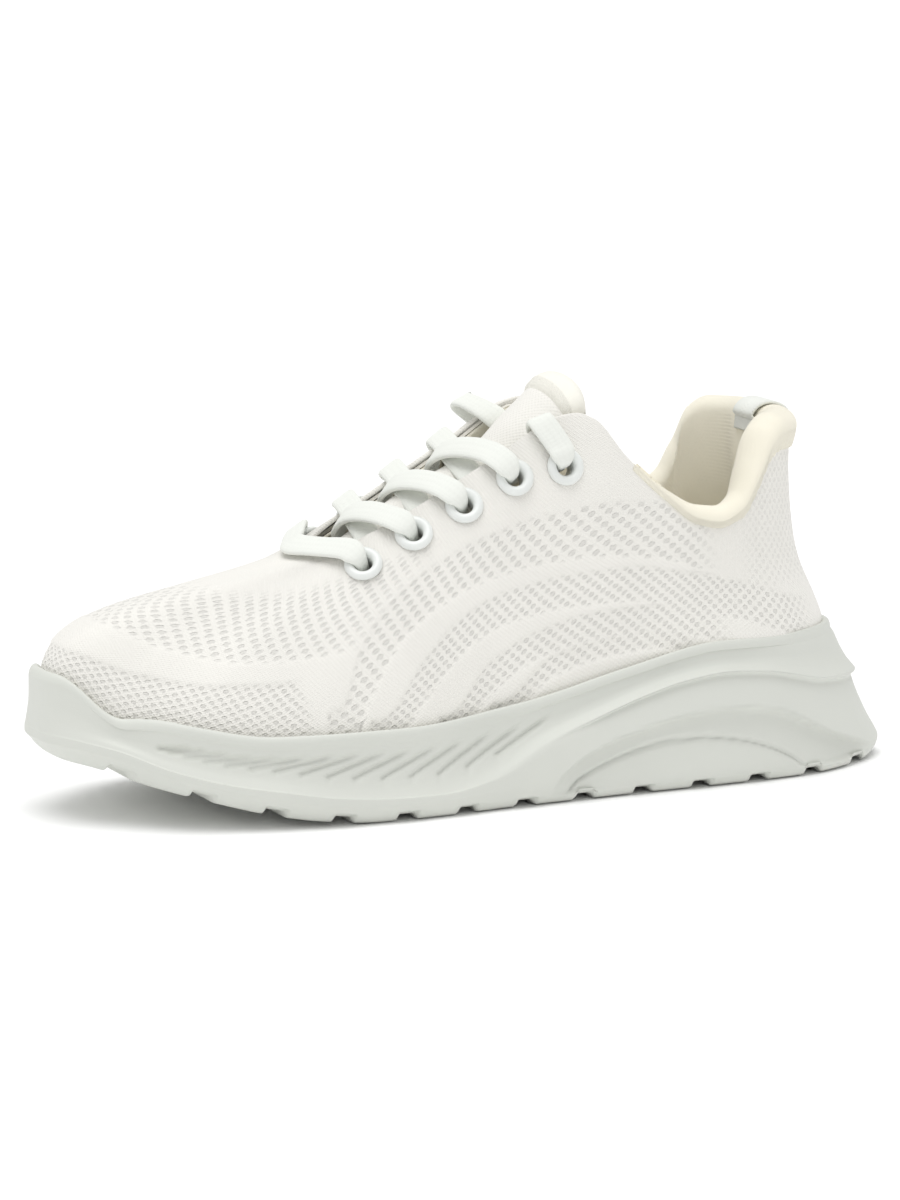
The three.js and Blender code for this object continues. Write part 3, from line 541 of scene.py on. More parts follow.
def lace_material(name, yarn):
    """Tubular polyester braid: a chevron of fine plaited yarn along the lace, soft and matt, with painted
    shade in the plait's low parts.
    """
    def chevron(tree):
        uv = node(tree, "ShaderNodeUVMap", uv_map="surface")
        split = node(tree, "ShaderNodeSeparateXYZ", {"Vector": uv}).node
        fold = math_node(tree, "ABSOLUTE", math_node(tree, "SINE", math_node(
            tree, "MULTIPLY", split.outputs[1], TURN / 2)))
        lean = math_node(tree, "ADD", math_node(tree, "MULTIPLY", split.outputs[0], 1 / (1.3 * MM)), fold)
        plait = math_node(tree, "SINE", math_node(tree, "MULTIPLY", lean, TURN))
        rows = math_node(tree, "SINE", math_node(tree, "MULTIPLY", split.outputs[1], 9 * TURN))
        return math_node(tree, "ADD", plait, rows)

    def base(tree):
        # The low parts of the plait are painted a little darker, as shade between the yarns.
        return blend_colour(tree, remap(tree, chevron(tree), -2, 1), shade(yarn, .98), yarn)

    def bump(tree):
        fuzz = relief(tree, object_noise(tree, .6, 3), .1, .6)
        return relief(tree, chevron(tree), .025, .6, fuzz)

    return material(name, {"Roughness": .85, "Specular IOR Level": .25, "Sheen Weight": .1}, base, bump)


def dress(obj, finish):
    obj.data.materials.clear()
    obj.data.materials.append(finish)


# ---------------------------------------------------------------- the moulded sole
def sole_stations(angle):
    """Profile rings from the middle of the tread, up the wall, over the rim and in across the footbed."""
    last, s = LAST, LAST.s
    flare, heel, rim, ridge, tread = s["side_flare"], s["heel_flare"], last.rim, last.ridge, last.tread
    low = lambda z: tread(z) + 4
    cup = last.cup_inset
    stations = [
        ((16, 16, 14), tread),
        ((9, 5.4, 4.6), tread),
        ((6.5, 3.4, 2.6), lambda q: tread(q) + .5),
        ((4.4, 2, 1.6), lambda q: tread(q) + 2),
        ((2.6, .9, 1.4), low),
        ((1, .1, 5.6), lambda q: mix(low(q), ridge(q), .4)),
        ((1.1, .2, 8.8), lambda q: mix(low(q), ridge(q), .8)),
        ((1.2, .8, 9.6), lambda q: ridge(q) - .5),
        ((1.3, 1.8, 10.4), lambda q: ridge(q) + .6),
        ((1.6, flare, heel - 5.4), lambda q: mix(ridge(q), rim(q), .2)),
        ((2.0, flare + 1.4, heel - 3), lambda q: mix(ridge(q), rim(q), .45)),
        ((2.1, flare + 1.3, heel - .8), lambda q: mix(ridge(q), rim(q), .72)),
        ((2.2, flare + .8, heel + .3), lambda q: rim(q) - 3),
        ((2.6, flare + .6, heel + .6), lambda q: rim(q) - 1.7),
        ((3.3, flare + .9, heel + 1.0), lambda q: rim(q) - .6),
        (last.rim_inset + [.9, .5, .4], rim),
        (cup + [.4, .3, .2], lambda q: rim(q) - .6),
        (cup + .7, lambda q: rim(q) - 2.4),
        (cup + .8, last.footbed),
    ]
    rings = [last.ring(angle, np.array(inset, float), height) for inset, height in stations]
    # The first and last rings are repeated flat on the middle line, which closes the tread and the footbed.
    under, inside = rings[0].copy(), rings[-1].copy()
    under[:, 1] = inside[:, 1] = last.centre((1 - np.cos(angle)) / 2)
    return [under, *rings, inside]


def sole_relief(points, angle):
    """How far the wall sinks: the arch's step, the channel above it, its fine line and the slashes."""
    last = LAST
    x, z = points[:, 0], points[:, 2]
    share = last.share(x)
    ridge, rim = last.ridge(share), last.rim(share)
    arch = curve((8, 3), (14, 9.5), (26, 15.8), (41, 20.3), (56, 23.3), (67, 24.6), (86, 22.8), (94, 20.5),
                 (102, 16.7), (112, 12), (124, 7.6), (134, 5))(x)
    span = ease(6, 22, x) * (1 - ease(116, 134, x))
    sink = 3.0 * span * (1 - ease(-.4, .4, z - arch)) * ease(-22, -2, z - arch)
    channel = np.clip((z - arch) / np.maximum(ridge - arch, 1), 0, 1)
    sink += 2.3 * channel ** 1.4 * (1 - ease(.9, 1, channel)) * ease(4, 40, x)
    line = curve((12, 1), (20, 6.5), (30, 10.8), (42, 14.1), (54, 15.8), (64, 15.6), (75, 14.2), (87, 10.8),
                 (95, 7.1), (104, 2))(x)
    sink += 1.2 * bell(z, line, 1.0) * ease(10, 20, x) * (1 - ease(94, 106, x))
    for i in range(15):
        foot_x = -113 + 105 * (i / 14) ** 1.4
        reach = min(9 + 1.8 * i, 20)
        head_x = foot_x + reach
        foot_z = last.ridge(last.share(foot_x)) + 4.6
        head_z = last.rim(last.share(head_x)) - 6.4
        along = np.clip((x - foot_x) / reach, 0, 1)
        off = np.hypot(x - mix(foot_x, head_x, along), z - mix(foot_z, head_z, along))
        sink += 1.3 * bell(off, 0, 1.3) * (1 - ease(.7, 1.02, along))
    beside = np.abs(np.sin(angle)) > .02
    return sink * beside


class SHOE_OT_sole(bpy.types.Operator):
    """The one-piece moulded sole: cup, sculpted wall and lugged tread"""
    bl_idname = "shoe.sole"
    bl_label = "Sole"

    def execute(self, context):
        last, s = LAST, LAST.s
        counts = (4, 6, 3, 3, 7, 17, 12, 8, 3, 3, 7, 8, 8, 4, 3, 3, 3, 3, 3, 2, 0)
        rows, level = spaced(list(enumerate(counts)))

        def place(u, v):
            angle = u * TURN
            rings = sole_stations(angle)
            knots = np.stack(rings)
            w = level(v)
            i = np.clip(np.floor(w).astype(int), 0, len(rings) - 2)
            part = (w - i)[:, None]
            pick = lambda k: knots[np.clip(k, 0, len(rings) - 1), np.arange(len(u))]
            before, a, b, after = pick(i - 1), pick(i), pick(i + 1), pick(i + 2)
            slope = lambda p, q: np.where(p * q > 0, 2 * p * q / np.where(p + q == 0, 1, p + q), 0)
            start, end = slope(a - before, b - a), slope(b - a, after - b)
            rise = b - a
            point = a + rise * part + part * (1 - part) * ((start - rise) * (1 - part) + (rise - end) * part)
            outward = unit(np.stack([-np.cos(angle) * .6, -np.sin(angle), 0 * u], -1))
            wall = ease(4, 5, w) * (1 - ease(13, 14, w))
            sink = sole_relief(point, angle) * wall
            point -= outward * sink[:, None]
            # Grooves part the tread into lugs, and one channel runs along its middle.
            pitch, depth = s["tread_pitch"], s["tread_depth"]
            phase = (point[:, 0] - last.toe - 20 + pitch / 2) % pitch - pitch / 2
            groove = 1 - ease(2.4, 3.7, np.abs(phase))
            inside = (point[:, 0] > last.toe + 14) & (point[:, 0] < last.toe + .95 * s["sole_length"])
            edge = 1 - ease(4.0, 4.7, w)
            channel = (1 - ease(3.6, 4.8, np.abs(point[:, 1] + 1))) * ease(-52, -46, point[:, 0])
            channel = channel * (1 - ease(88, 94, point[:, 0])) * (w < 2)
            point[:, 2] += np.maximum(groove * inside, channel) * depth * edge
            return point

        sole = grid("sole", 840, rows, place)
        dress(sole, foam_material("eva_foam_moulded", tint("foam")))
        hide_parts("sole_unit")
        return {"FINISHED"}


# ---------------------------------------------------------------- the knit upper
def rib_length(angle):
    ups = np.linspace(0, 1, 24)
    points = LAST.upper(angle[:, None], ups[None, :])
    return np.linalg.norm(np.diff(points, axis=1), axis=2).sum(1)


def ring_length():
    """Distance round the toe half of the ring at a third of its height, from the toe, by angle."""
    angles = np.linspace(0, TURN, 721)
    steps = np.linalg.norm(np.diff(LAST.upper(angles, .3 + 0 * angles), axis=0), axis=1)
    total = np.concatenate([[0], np.cumsum(steps)])
    return lambda angle: np.interp(np.asarray(angle) % (TURN + 1e-9), angles, total)


def bands(angle, up):
    """How open the knit is, 0 to 1, and where its mesh is the large one. The bands sweep from rim to heel."""
    mirrored = np.where(angle > math.pi, TURN - angle, angle)
    point = LAST.upper(mirrored, up)
    x, z = point[:, 0], point[:, 2]
    sweeps = [
        ([(-60, 24), (-50, 44), (-38, 59), (-25, 68), (-7, 75.5), (13, 80), (33, 81.5), (53, 80), (70, 76)],
         (4.4, 8.9)),
        ([(-47, 24), (-31, 41), (-18, 53), (-2, 60.5), (21, 64), (41, 64.5), (61, 61), (81, 56), (106, 48)],
         (4.2, 6.0)),
        ([(-24, 24), (-9, 39), (7, 48), (31, 53), (51, 53.5), (74, 49)], (3.8, 4.4)),
        ([(-6, 28), (12, 41), (30, 45.5), (50, 47), (64, 44)], (3.0, 3.0)),
    ]
    openness = np.zeros(len(x))
    edges = []
    for points, (narrow, wide) in sweeps:
        first, last_x = points[0][0], points[-1][0]
        steep = np.gradient([p[1] for p in points], [p[0] for p in points])
        slope = curve(*((p[0], g) for p, g in zip(points, steep)))(x)
        half = mix(narrow, wide, ease(first, last_x, x))
        off = (z - curve(*points)(x)) / np.sqrt(1 + slope ** 2)
        inside = (x > first - 3) * (1 - ease(last_x - 8, last_x + 4, x))
        here = (1 - ease(half - .8, half + .8, np.abs(off))) * inside
        openness = np.maximum(openness, here)
        edges.append(np.where((x > first - 6) & (x < last_x + 4), np.abs(off) - half, 99))
    front = 1 - ease(-73, -68, x + .22 * (z - 40))
    toe_top = .29 - .05 * np.cos(mirrored * 3)
    openness = np.maximum(openness, front * (1 - ease(toe_top - .012, toe_top + .012, up)))
    patch = ease(.40, .43, up) * (1 - ease(.66, .78, up)) * (1 - ease(1.0, 1.2, mirrored + .35 * (.5 - up)))
    # The pitch changes in the dense knit half way between two bands.
    large = (edges[0] < 2.6) & (edges[0] < np.min(edges[1:], axis=0))
    large |= (up > .37) & (up < .81) & (mirrored + .35 * (.5 - up) < 1.25)
    openness = np.maximum(openness, patch * .9)
    openness = np.maximum(openness, .5 * ease(76, 88, x) * ease(.34, .42, up) * (1 - ease(.9, .96, up)))
    return openness, large


class SHOE_OT_knit(bpy.types.Operator):
    """The knit upper, with its mesh bands, raised dense bands and ribbed heel"""
    bl_idname = "shoe.knit"
    bl_label = "Knit upper"

    def execute(self, context):
        last, s = LAST, LAST.s
        thick = s["knit_thickness"]
        rows, level = spaced([(0, 92), (1, 4), (2, 12), (3, 1), (4, 0)])
        measure = ring_length()

        def split(v):
            w = level(v)
            up = np.where(w <= 1, w, np.where(w <= 2, 1, np.where(w <= 3, 3 - w, 0)))
            depth = np.clip(w - 1, 0, 1) * thick - np.clip(w - 3, 0, 1) * thick
            return up, depth, w

        def place(u, v):
            angle = u * TURN
            up, depth, w = split(v)
            t = (1 - np.cos(angle)) / 2
            openness, _ = bands(angle, up)
            outer = np.clip(1.2 - w, 0, 1) * ease(.02, .08, up) * (1 - ease(.93, .99, up))
            ribbing = .22 * np.cos(TURN * measure(angle) / 4.2) * ease(.72, .8, t) * ease(.55, .75, up)
            swell = .55 * (1 - openness) - .25
            crease = .5 * np.sin(3.1 * up * math.pi + 2 * angle) * bell(t, .25, .12) * ease(.3, .5, up)
            # The knit spreads out to meet the rim of the cup at the heel.
            flare = 3.7 * ease(.7, .95, t) * ease(0, .2, up) * (1 - ease(.2, .55, up))
            raised = (swell + ribbing + crease * .3 + flare) * outer
            round_over = .5 * np.sin(np.pi * np.clip(w - 1, 0, 1))
            return last.at(angle, up, depth - raised, round_over)

        def cells(u, v):
            angle = u * TURN
            up, _, _ = split(v)
            _, large = bands(angle, up)
            pitch = np.where(large, s["large_pitch"], s["small_pitch"]) * math.sqrt(2)
            return measure(angle) / (pitch * 1.12), rib_length(angle) * up / (pitch * .98)

        def stitches(u, v):
            angle = u * TURN
            up, _, _ = split(v)
            return measure(angle) / 1.5, rib_length(angle) * up / 1.2

        def openwork(u, v):
            up, _, w = split(v)
            return bands(u * TURN, up)[0] * (w <= 1)

        maps = {"mesh_cells": cells, "stitches": stitches}
        knit = grid("knit", 800, rows, place, maps, {"openwork": openwork})
        punch(knit, s["knit_thickness"])
        dress(knit, knit_material("polyester_flat_knit", tint("knit")))
        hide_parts("knit_upper")
        return {"FINISHED"}


def spot(side, number):
    """An eyelet's centre on the knit, its outward normal, the way to the slot and the sign of its side."""
    low, high = (np.array(corner) / MM - LAST.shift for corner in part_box(f"eyelet_{side}_{number}"))
    sign = 1 if side == "lateral" else -1
    rough = (low + high) / 2
    angle, up = sign * 1.2, .85
    for _ in range(60):
        here = LAST.upper(angle, up)
        across = LAST.upper(angle + .01, up) - here
        rise = LAST.upper(angle, up + .01) - here
        local = np.stack([across, rise, LAST.normal(angle, up)], 1)
        step = np.linalg.lstsq(local, rough - here, rcond=None)[0]
        angle, up = angle + .01 * step[0], float(np.clip(up + .01 * step[1], .3, .99))
    normal = LAST.normal(angle, up)
    inward = unit(np.array([0, sign, 0]) - sign * normal[1] * normal)
    return {"angle": angle, "place": LAST.upper(angle, up), "normal": normal, "inward": inward, "sign": sign}


def cylinder(name, radius, depth, place, normal, vertices=32):
    """A primitive cylinder whose axis is the normal, with its place in its mesh."""
    bpy.ops.object.select_all(action="DESELECT")
    bpy.ops.mesh.primitive_cylinder_add(vertices=vertices, radius=radius * MM, depth=depth * MM)
    obj = bpy.context.object
    obj.name = name
    settle(obj, place, normal)
    return obj


def settle(obj, place, normal):
    """Turns +Z to the normal and puts the object's place in its mesh."""
    turn = Vector((0, 0, 1)).rotation_difference(Vector(normal)).to_matrix().to_4x4()
    obj.data.transform(Matrix.Translation(Vector((place + LAST.shift) * MM)) @ turn)
    obj.location = (0, 0, 0)
    obj.rotation_euler = (0, 0, 0)


def punch(obj, thickness):
    """Cuts the eyelets' holes through a cloth."""
    radius, depth = 3.9, 9
    spots = [(f"punch_{side}_{i}", here) for side in SPOTS for i, here in enumerate(SPOTS[side])]
    pins = [cylinder(name, radius, depth, here["place"] - here["normal"] * thickness / 2, here["normal"])
            for name, here in spots]
    bpy.ops.object.select_all(action="DESELECT")
    for pin in pins:
        pin.select_set(True)
    bpy.context.view_layer.objects.active = pins[0]
    bpy.ops.object.join()
    modify(obj, "BOOLEAN", operation="DIFFERENCE", solver="EXACT", object=pins[0])
    bpy.data.objects.remove(pins[0], do_unlink=True)


# ---------------------------------------------------------------- linings and padding
LINING_DEPTH = 3.28


class SHOE_OT_linings(bpy.types.Operator):
    """The lining of the front of the shoe, between the stiffeners and the foot"""
    bl_idname = "shoe.linings"
    bl_label = "Vamp lining"

    def execute(self, context):
        end = 16 / 56 * TURN - .005
        rows, level = spaced([(0, 30), (1, 2), (2, 30), (3, 1), (4, 0)])

        def place(u, v):
            angle = mix(-end, end, u)
            w = level(v)
            up = .03 + .95 * np.where(w <= 1, w, np.where(w <= 2, 1, np.where(w <= 3, 3 - w, 0)))
            depth = np.clip(w - 1, 0, 1) * .8 - np.clip(w - 3, 0, 1) * .8
            return LAST.at(angle, up, LINING_DEPTH + depth)

        surface = lambda u, v: (u * .3, level(v) * .08)
        lining = grid("vamp_lining_cloth", 160, rows, place, {"surface": surface})
        cap_ends(lining)
        punch(lining, 8)
        dress(lining, cloth_material("jersey_lining_white", tint("cream"), 1.4))
        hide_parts("vamp_lining")
        return {"FINISHED"}


def cap_ends(obj):
    """Closes the two open ends of a sleeve that was rolled up from a grid."""
    only(obj)
    bpy.ops.object.mode_set(mode="EDIT")
    bpy.ops.mesh.select_all(action="DESELECT")
    bpy.ops.mesh.select_mode(type="EDGE")
    bpy.ops.mesh.select_non_manifold(extend=False)
    bpy.ops.mesh.edge_face_add()
    bpy.ops.mesh.select_all(action="SELECT")
    bpy.ops.mesh.quads_convert_to_tris(ngon_method="BEAUTY")
    bpy.ops.mesh.normals_make_consistent(inside=False)
    bpy.ops.mesh.select_mode(type="VERT")
    bpy.ops.object.mode_set(mode="OBJECT")


class SHOE_OT_collar(bpy.types.Operator):
    """The padded collar: a cream lining rolled over the top edge, with a stitched seam outside"""
    bl_idname = "shoe.collar"
    bl_label = "Padded collar"

    def execute(self, context):
        last = LAST
        start = 16 / 56 * TURN + .005
        measure = ring_length()
        rows, level = spaced([(0, 26), (1, 14), (2, 8), (3, 0)])

        def path(angle, w):
            """Height, depth and rise of the roll's face: up the inside, over the top and down the outside."""
            t = (1 - np.cos(angle)) / 2
            full = ease(.80, .9, t)
            pad = last.pad(t, 1)
            front = ease(0, .35, np.minimum(angle - start, TURN - start - angle))
            proud = mix(-.3, mix(.9, 1.5, full), front)
            climb, turn, wrap = np.clip(w, 0, 1), np.clip(w - 1, 0, 1) * math.pi, np.clip(w - 2, 0, 1)
            up = mix(.05, 1, climb) - wrap * mix(2.0, 6.4, full) / rib_length(angle)
            radius = (pad + proud) / 2
            on_top = (pad - proud) / 2 + radius * np.cos(turn)
            # Ladder stitches pull the edge of the roll down on to the knit.
            stitch = .3 * full * wrap ** 3 * np.cos(TURN * measure(angle) / 3.2)
            outside = -proud * (1 - .75 * wrap ** 2.5) + stitch
            depth = np.where(w <= 1, last.pad(t, up), np.where(w <= 2, on_top, outside))
            rise = (last.roll_height(t) * mix(.1, 1, front) + .8 * full) * np.sin(turn)
            return up, depth, rise

        def place(u, v):
            angle = mix(start, TURN - start, u)
            up, depth, rise = path(angle, level(v))
            return last.at(angle, up, depth, rise)

        surface = lambda u, v: (u * .34, level(v) * .04)
        collar = grid("collar_roll", 420, rows, place, {"surface": surface}, merge=False)
        shell(collar, .8)
        dress(collar, cloth_material("cream_jersey_brushed", tint("cream"), 1.2))
        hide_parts("collar_lining")
        return {"FINISHED"}


def shell(obj, thickness):
    """Gives a sheet its thickness, half to each side of it."""
    modify(obj, "SOLIDIFY", thickness=thickness * MM, offset=0)
    only(obj)
    bpy.ops.object.mode_set(mode="EDIT")
    bpy.ops.mesh.select_all(action="SELECT")
    bpy.ops.mesh.normals_make_consistent(inside=False)
    bpy.ops.object.mode_set(mode="OBJECT")


class SHOE_OT_tape(bpy.types.Operator):
    """The woven pull tape folded over the back of the collar"""
    bl_idname = "shoe.pull_tape"
    bl_label = "Pull tape"

    def execute(self, context):
        last, s = LAST, LAST.s
        half = solve(.01, .6, lambda by: abs(last.opening(np.array(math.pi + by))[1]) - s["tape_width"] / 2)
        rows, level = spaced([(0, 14), (1, 18), (2, 8), (3, 0)])

        def place(u, v):
            angle = math.pi + mix(-half, half, u)
            w = level(v)
            t = (1 - np.cos(angle)) / 2
            pad = last.pad(t, 1)
            length = rib_length(angle)
            turn = (1 - np.clip(w - 1, 0, 1)) * math.pi
            out = 2.1
            arc_depth = pad / 2 + (pad / 2 + out) * np.cos(turn)
            inside_up = 1 - 4 * np.clip(w - 2, 0, 1) / length
            depth = np.where(w <= 1, -mix(.7, out, ease(.3, .9, w)), np.where(w <= 2, arc_depth,
                                                                              last.pad(t, inside_up) + .9))
            up = np.where(w <= 1, 1 - (1 - w) * 17 / length, np.where(w <= 2, 1, inside_up))
            rise = np.where((w > 1) & (w <= 2), (last.roll_height(t) + 1.8) * np.sin(turn), 0)
            ridge = .1 * np.cos(TURN * u * 7)
            return last.at(angle, up, depth - ridge * (w <= 1), rise)

        surface = lambda u, v: (u * s["tape_width"] * MM, level(v) * .016)
        tape = grid("pull_tape", 40, rows, place, {"surface": surface}, merge=False)
        shell(tape, .9)
        dress(tape, cloth_material("woven_tape_bluish_white", tint("lace"), .9, .06))
        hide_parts("heel_pull_tape")
        return {"FINISHED"}


class SHOE_OT_insole(bpy.types.Operator):
    """The insole foam and the cloth that faces it"""
    bl_idname = "shoe.insole"
    bl_label = "Insole"

    def execute(self, context):
        last = LAST
        inset = last.foot_inset + np.array([5.4, 7, 10])

        def plate(low, high):
            rows, level = spaced([(0, 14), (1, 3), (2, 14), (3, 0)])

            def place(u, v):
                angle = u * TURN
                w = level(v)
                spread = np.where(w <= 1, w, np.where(w <= 2, 1, 3 - w))
                point = last.ring(angle, inset, lambda q: last.footbed(q))
                middle = last.centre((1 - np.cos(angle)) / 2)
                point[:, 1] = mix(middle, point[:, 1], spread)
                round_off = .5 * np.sin(np.pi * np.clip(w - 1, 0, 1))
                outward = unit(np.stack([-np.cos(angle), -np.sin(angle), 0 * u], -1))
                point += outward * (round_off - .5)[:, None]
                point[:, 2] += mix(low, high, np.clip(w - 1, 0, 1))
                return point
            return rows, level, place

        for name, node_name, low, high, slot, finish in (
                ("insole_foam_sheet", "insole_foam", 2.1, 6.3, "insole_foam",
                 sponge_material("polyurethane_foam_pale", tint("cream"))),
                ("insole_cloth", "insole_cover", 6.6, 7.4, "lining",
                 cloth_material("insole_jersey_cream", tint("cream"), 1.5))):
            rows, level, place = plate(low, high)
            surface = lambda u, v, level=level: (u * .6, level(v) * .05)
            piece = grid(name, 220, rows, place, {"surface": surface})
            dress(piece, finish)
            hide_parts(node_name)
        return {"FINISHED"}


# ---------------------------------------------------------------- tongue
class Tongue:
    """The tongue's centre line, from its base under the throat to its top, and its curved section."""

    def __init__(self):
        width = LAST.s["tongue_width"] / 2
        points = [(-66, 64.5), (-56, 68), (-44, 73), (-28, 83.5), (-12, 94), (4, 103.3), (16, 115.3),
                  (27.5, 126)]
        self.line = catmull(np.array([[x, 0, z] for x, z in points], float), 240)
        steps = np.concatenate([[0], np.cumsum(np.linalg.norm(np.diff(self.line, axis=0), axis=1))])
        self.along = steps / steps[-1]
        self.length = steps[-1]
        self.radius = curve((0, 34), (.3, 25), (.55, 19.5), (1, 19.5))
        self.half = curve((0, .58 * width), (.2, .68 * width), (.4, .82 * width), (.6, .9 * width),
                          (.75, .94 * width), (.94, width), (1, .97 * width))

    def centre(self, along):
        along = np.clip(along, 0, 1)
        return np.stack([np.interp(along, self.along, self.line[:, i]) for i in range(3)], -1)

    def at(self, along, across, depth):
        along, across, depth = np.broadcast_arrays(*(np.asarray(v, float) for v in (along, across, depth)))
        # The top edge is rounded off towards its corners.
        along = along - .055 * ease(.75, 1, along) * np.abs(across) ** 3
        near = np.clip(along, .02, .98)
        tangent = unit(self.centre(near + .02) - self.centre(near - .02))
        normal = np.stack([-tangent[..., 2], 0 * along, tangent[..., 0]], -1)
        beyond = np.clip(along - 1, 0, None) * self.length
        centre = self.centre(along) + tangent * beyond[..., None]
        radius = self.radius(along)
        angle = across * self.half(along) / radius
        reach = radius - depth
        point = centre + normal * (reach * np.cos(angle) - radius)[..., None]
        point[..., 1] += reach * np.sin(angle)
        return point


def catmull(points, count, alpha=.5):
    """A centripetal curve through the points, as count points spaced evenly over its pieces."""
    ends = [2 * points[0] - points[1], *points, 2 * points[-1] - points[-2]]
    knots = np.concatenate([[0], np.cumsum(np.maximum(
        [np.linalg.norm(b - a) ** alpha for a, b in zip(ends, ends[1:])], 1e-4))])
    place = np.linspace(0, len(points) - 1, count)
    made = []
    for value in place:
        i = min(int(value), len(points) - 2)
        t0, t1, t2, t3 = knots[i:i + 4]
        p0, p1, p2, p3 = ends[i:i + 4]
        t = mix(t1, t2, value - i)
        a1 = p0 * (t1 - t) / (t1 - t0) + p1 * (t - t0) / (t1 - t0)
        a2 = p1 * (t2 - t) / (t2 - t1) + p2 * (t - t1) / (t2 - t1)
        a3 = p2 * (t3 - t) / (t3 - t2) + p3 * (t - t2) / (t3 - t2)
        b1 = a1 * (t2 - t) / (t2 - t0) + a2 * (t - t0) / (t2 - t0)
        b2 = a2 * (t3 - t) / (t3 - t1) + a3 * (t - t1) / (t3 - t1)
        made.append(b1 * (t2 - t) / (t2 - t1) + b2 * (t - t1) / (t2 - t1))
    return np.array(made)


class SHOE_OT_tongue(bpy.types.Operator):
    """The padded tongue: knit cover, and a cream lining folded over its top"""
    bl_idname = "shoe.tongue"
    bl_label = "Tongue"

    def execute(self, context):
        tongue = TONGUE
        rows, level = spaced([(0, 90), (1, 4), (2, 90), (3, 4), (4, 0)])

        cover_depth, cover_end = 1.2, .975
        puff = curve((0, 0), (.12, .6), (.25, 3.8), (.45, 3.6), (.62, 1.9), (.8, 1.2), (1, .4))

        def cover_place(u, v):
            """A closed skin between the face and the cover's depth, with soft edges and a puffed face."""
            w = level(v)
            along = np.where(w <= 1, w, np.where(w <= 2, 1, np.where(w <= 3, 3 - w, 0)))
            face = np.clip(w - 1, 0, 1) - np.clip(w - 3, 0, 1)
            across = mix(-1, 1, u)
            edge = 1 - np.abs(across) ** 6
            crown = 1 - ease(.96, 1, along)
            depth = mix(cover_depth / 2, cover_depth * face, np.sqrt(np.maximum(edge, 0)))
            pillow = puff(along) * (1 - across ** 2) * (1 - face) * crown
            return tongue.at(cover_end * along, across, depth - pillow)

        stitch = lambda u, v: (u * 40 / 1.5, level(v) * 90 / 1.2)
        cells = lambda u, v: (u * 16, level(v) * 38)
        none = lambda u, v: 0 * u
        cover = grid("tongue_knit", 60, rows, cover_place, {"mesh_cells": cells, "stitches": stitch},
                     {"openwork": none}, body="tongue")
        dress(cover, knit_material("polyester_knit_tongue", tint("knit")))
        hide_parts("tongue_cover")

        # The lining comes up behind the padding and folds over the top edge on to the front.
        fold_rows, fold = spaced([(0, 80), (1, 16), (2, 6), (3, 0)])

        def lining_place(u, v):
            w = fold(v)
            across = mix(-1, 1, u)
            along = mix(.01, .985, np.clip(w, 0, 1)) - .045 * np.clip(w - 2, 0, 1)
            turn = np.clip(w - 1, 0, 1) * math.pi
            radius = 3.25 + 2.4 * ease(.72, .97, along)
            middle = radius - .8
            depth = np.where(w <= 1, middle + radius, np.where(w <= 2, middle + radius * np.cos(turn),
                                                               middle - radius))
            # The end of the fold is stitched down into the face of the tongue.
            depth = depth + 1.9 * ease(.45, 1, w - 2)
            depth = mix(depth, middle, .75 * np.abs(across) ** 8)
            swell = .35 * (1 - across ** 2) * (w >= 2)
            rise = radius * np.sin(turn) * (w > 1) * (w < 2) / tongue.length
            return tongue.at(along + rise, across * .99, depth - swell)

        surface = lambda u, v: (u * .043, fold(v) * .05)
        lining = grid("tongue_lining_cloth", 60, fold_rows, lining_place, {"surface": surface}, merge=False,
                      body="tongue")
        shell(lining, .7)
        dress(lining, cloth_material("cream_jersey_tongue", tint("tongue"), 1.2))
        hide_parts("tongue_lining")
        return {"FINISHED"}


# ---------------------------------------------------------------- eyelets
def lathe(name, profile, place, normal, steps=48):
    """A ring spun from a closed profile of (radius, height) points."""
    bpy.ops.object.select_all(action="DESELECT")
    bpy.ops.mesh.primitive_circle_add(vertices=len(profile), radius=1)
    obj = bpy.context.object
    obj.name = name
    for vertex, (radius, height) in zip(obj.data.vertices, profile):
        vertex.co = (radius * MM, 0, height * MM)
    bpy.ops.object.mode_set(mode="EDIT")
    bpy.ops.mesh.select_all(action="SELECT")
    bpy.ops.mesh.spin(steps=steps, angle=TURN, center=(0, 0, 0), axis=(0, 0, 1))
    bpy.ops.mesh.select_all(action="SELECT")
    bpy.ops.mesh.remove_doubles(threshold=1e-6)
    bpy.ops.mesh.normals_make_consistent(inside=False)
    bpy.ops.object.mode_set(mode="OBJECT")
    bpy.ops.object.shade_smooth()
    settle(obj, place, normal)
    return obj


class SHOE_OT_eyelets(bpy.types.Operator):
    """Five rounded eyelets and their washers on each side of the slot"""
    bl_idname = "shoe.eyelets"
    bl_label = "Eyelets"

    def execute(self, context):
        s = LAST.s
        hole, flange = s["eyelet_hole"], s["eyelet_flange"]
        middle, half = (hole + flange) / 2 + .05, (flange - hole) / 2 - .05
        dome = [(middle + half * math.cos(a), .35 + 1.55 * math.sin(a)) for a in np.linspace(0, math.pi, 13)]
        ring = [(flange, .35), *dome[1:-1], (hole, .35), (hole, -6.4), (hole + .5, -6.4), (hole + .5, .3)]
        washer = [(3.6, -6.2), (4.9, -6.2), (4.9, -5.5), (3.6, -5.5)]
        finish = plastic_material("nylon_eyelet_moulded", tint("eyelet"), .3)
        inner = plastic_material("nylon_washer_moulded", tint("eyelet"), .5)
        for side in SPOTS:
            for i, here in enumerate(SPOTS[side]):
                for kind, shape, look in (("eyelet", ring, finish), ("eyelet_washer", washer, inner)):
                    piece = lathe(f"{kind}_ring_{side}_{i + 1}", shape, here["place"], here["normal"])
                    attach(piece, "shoe")
                    dress(piece, look)
                    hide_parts(f"{kind}_{side}_{i + 1}")
        return {"FINISHED"}


# ---------------------------------------------------------------- lace
# How deep the lace runs inside the knit, below an eyelet.
UNDER = -8.1
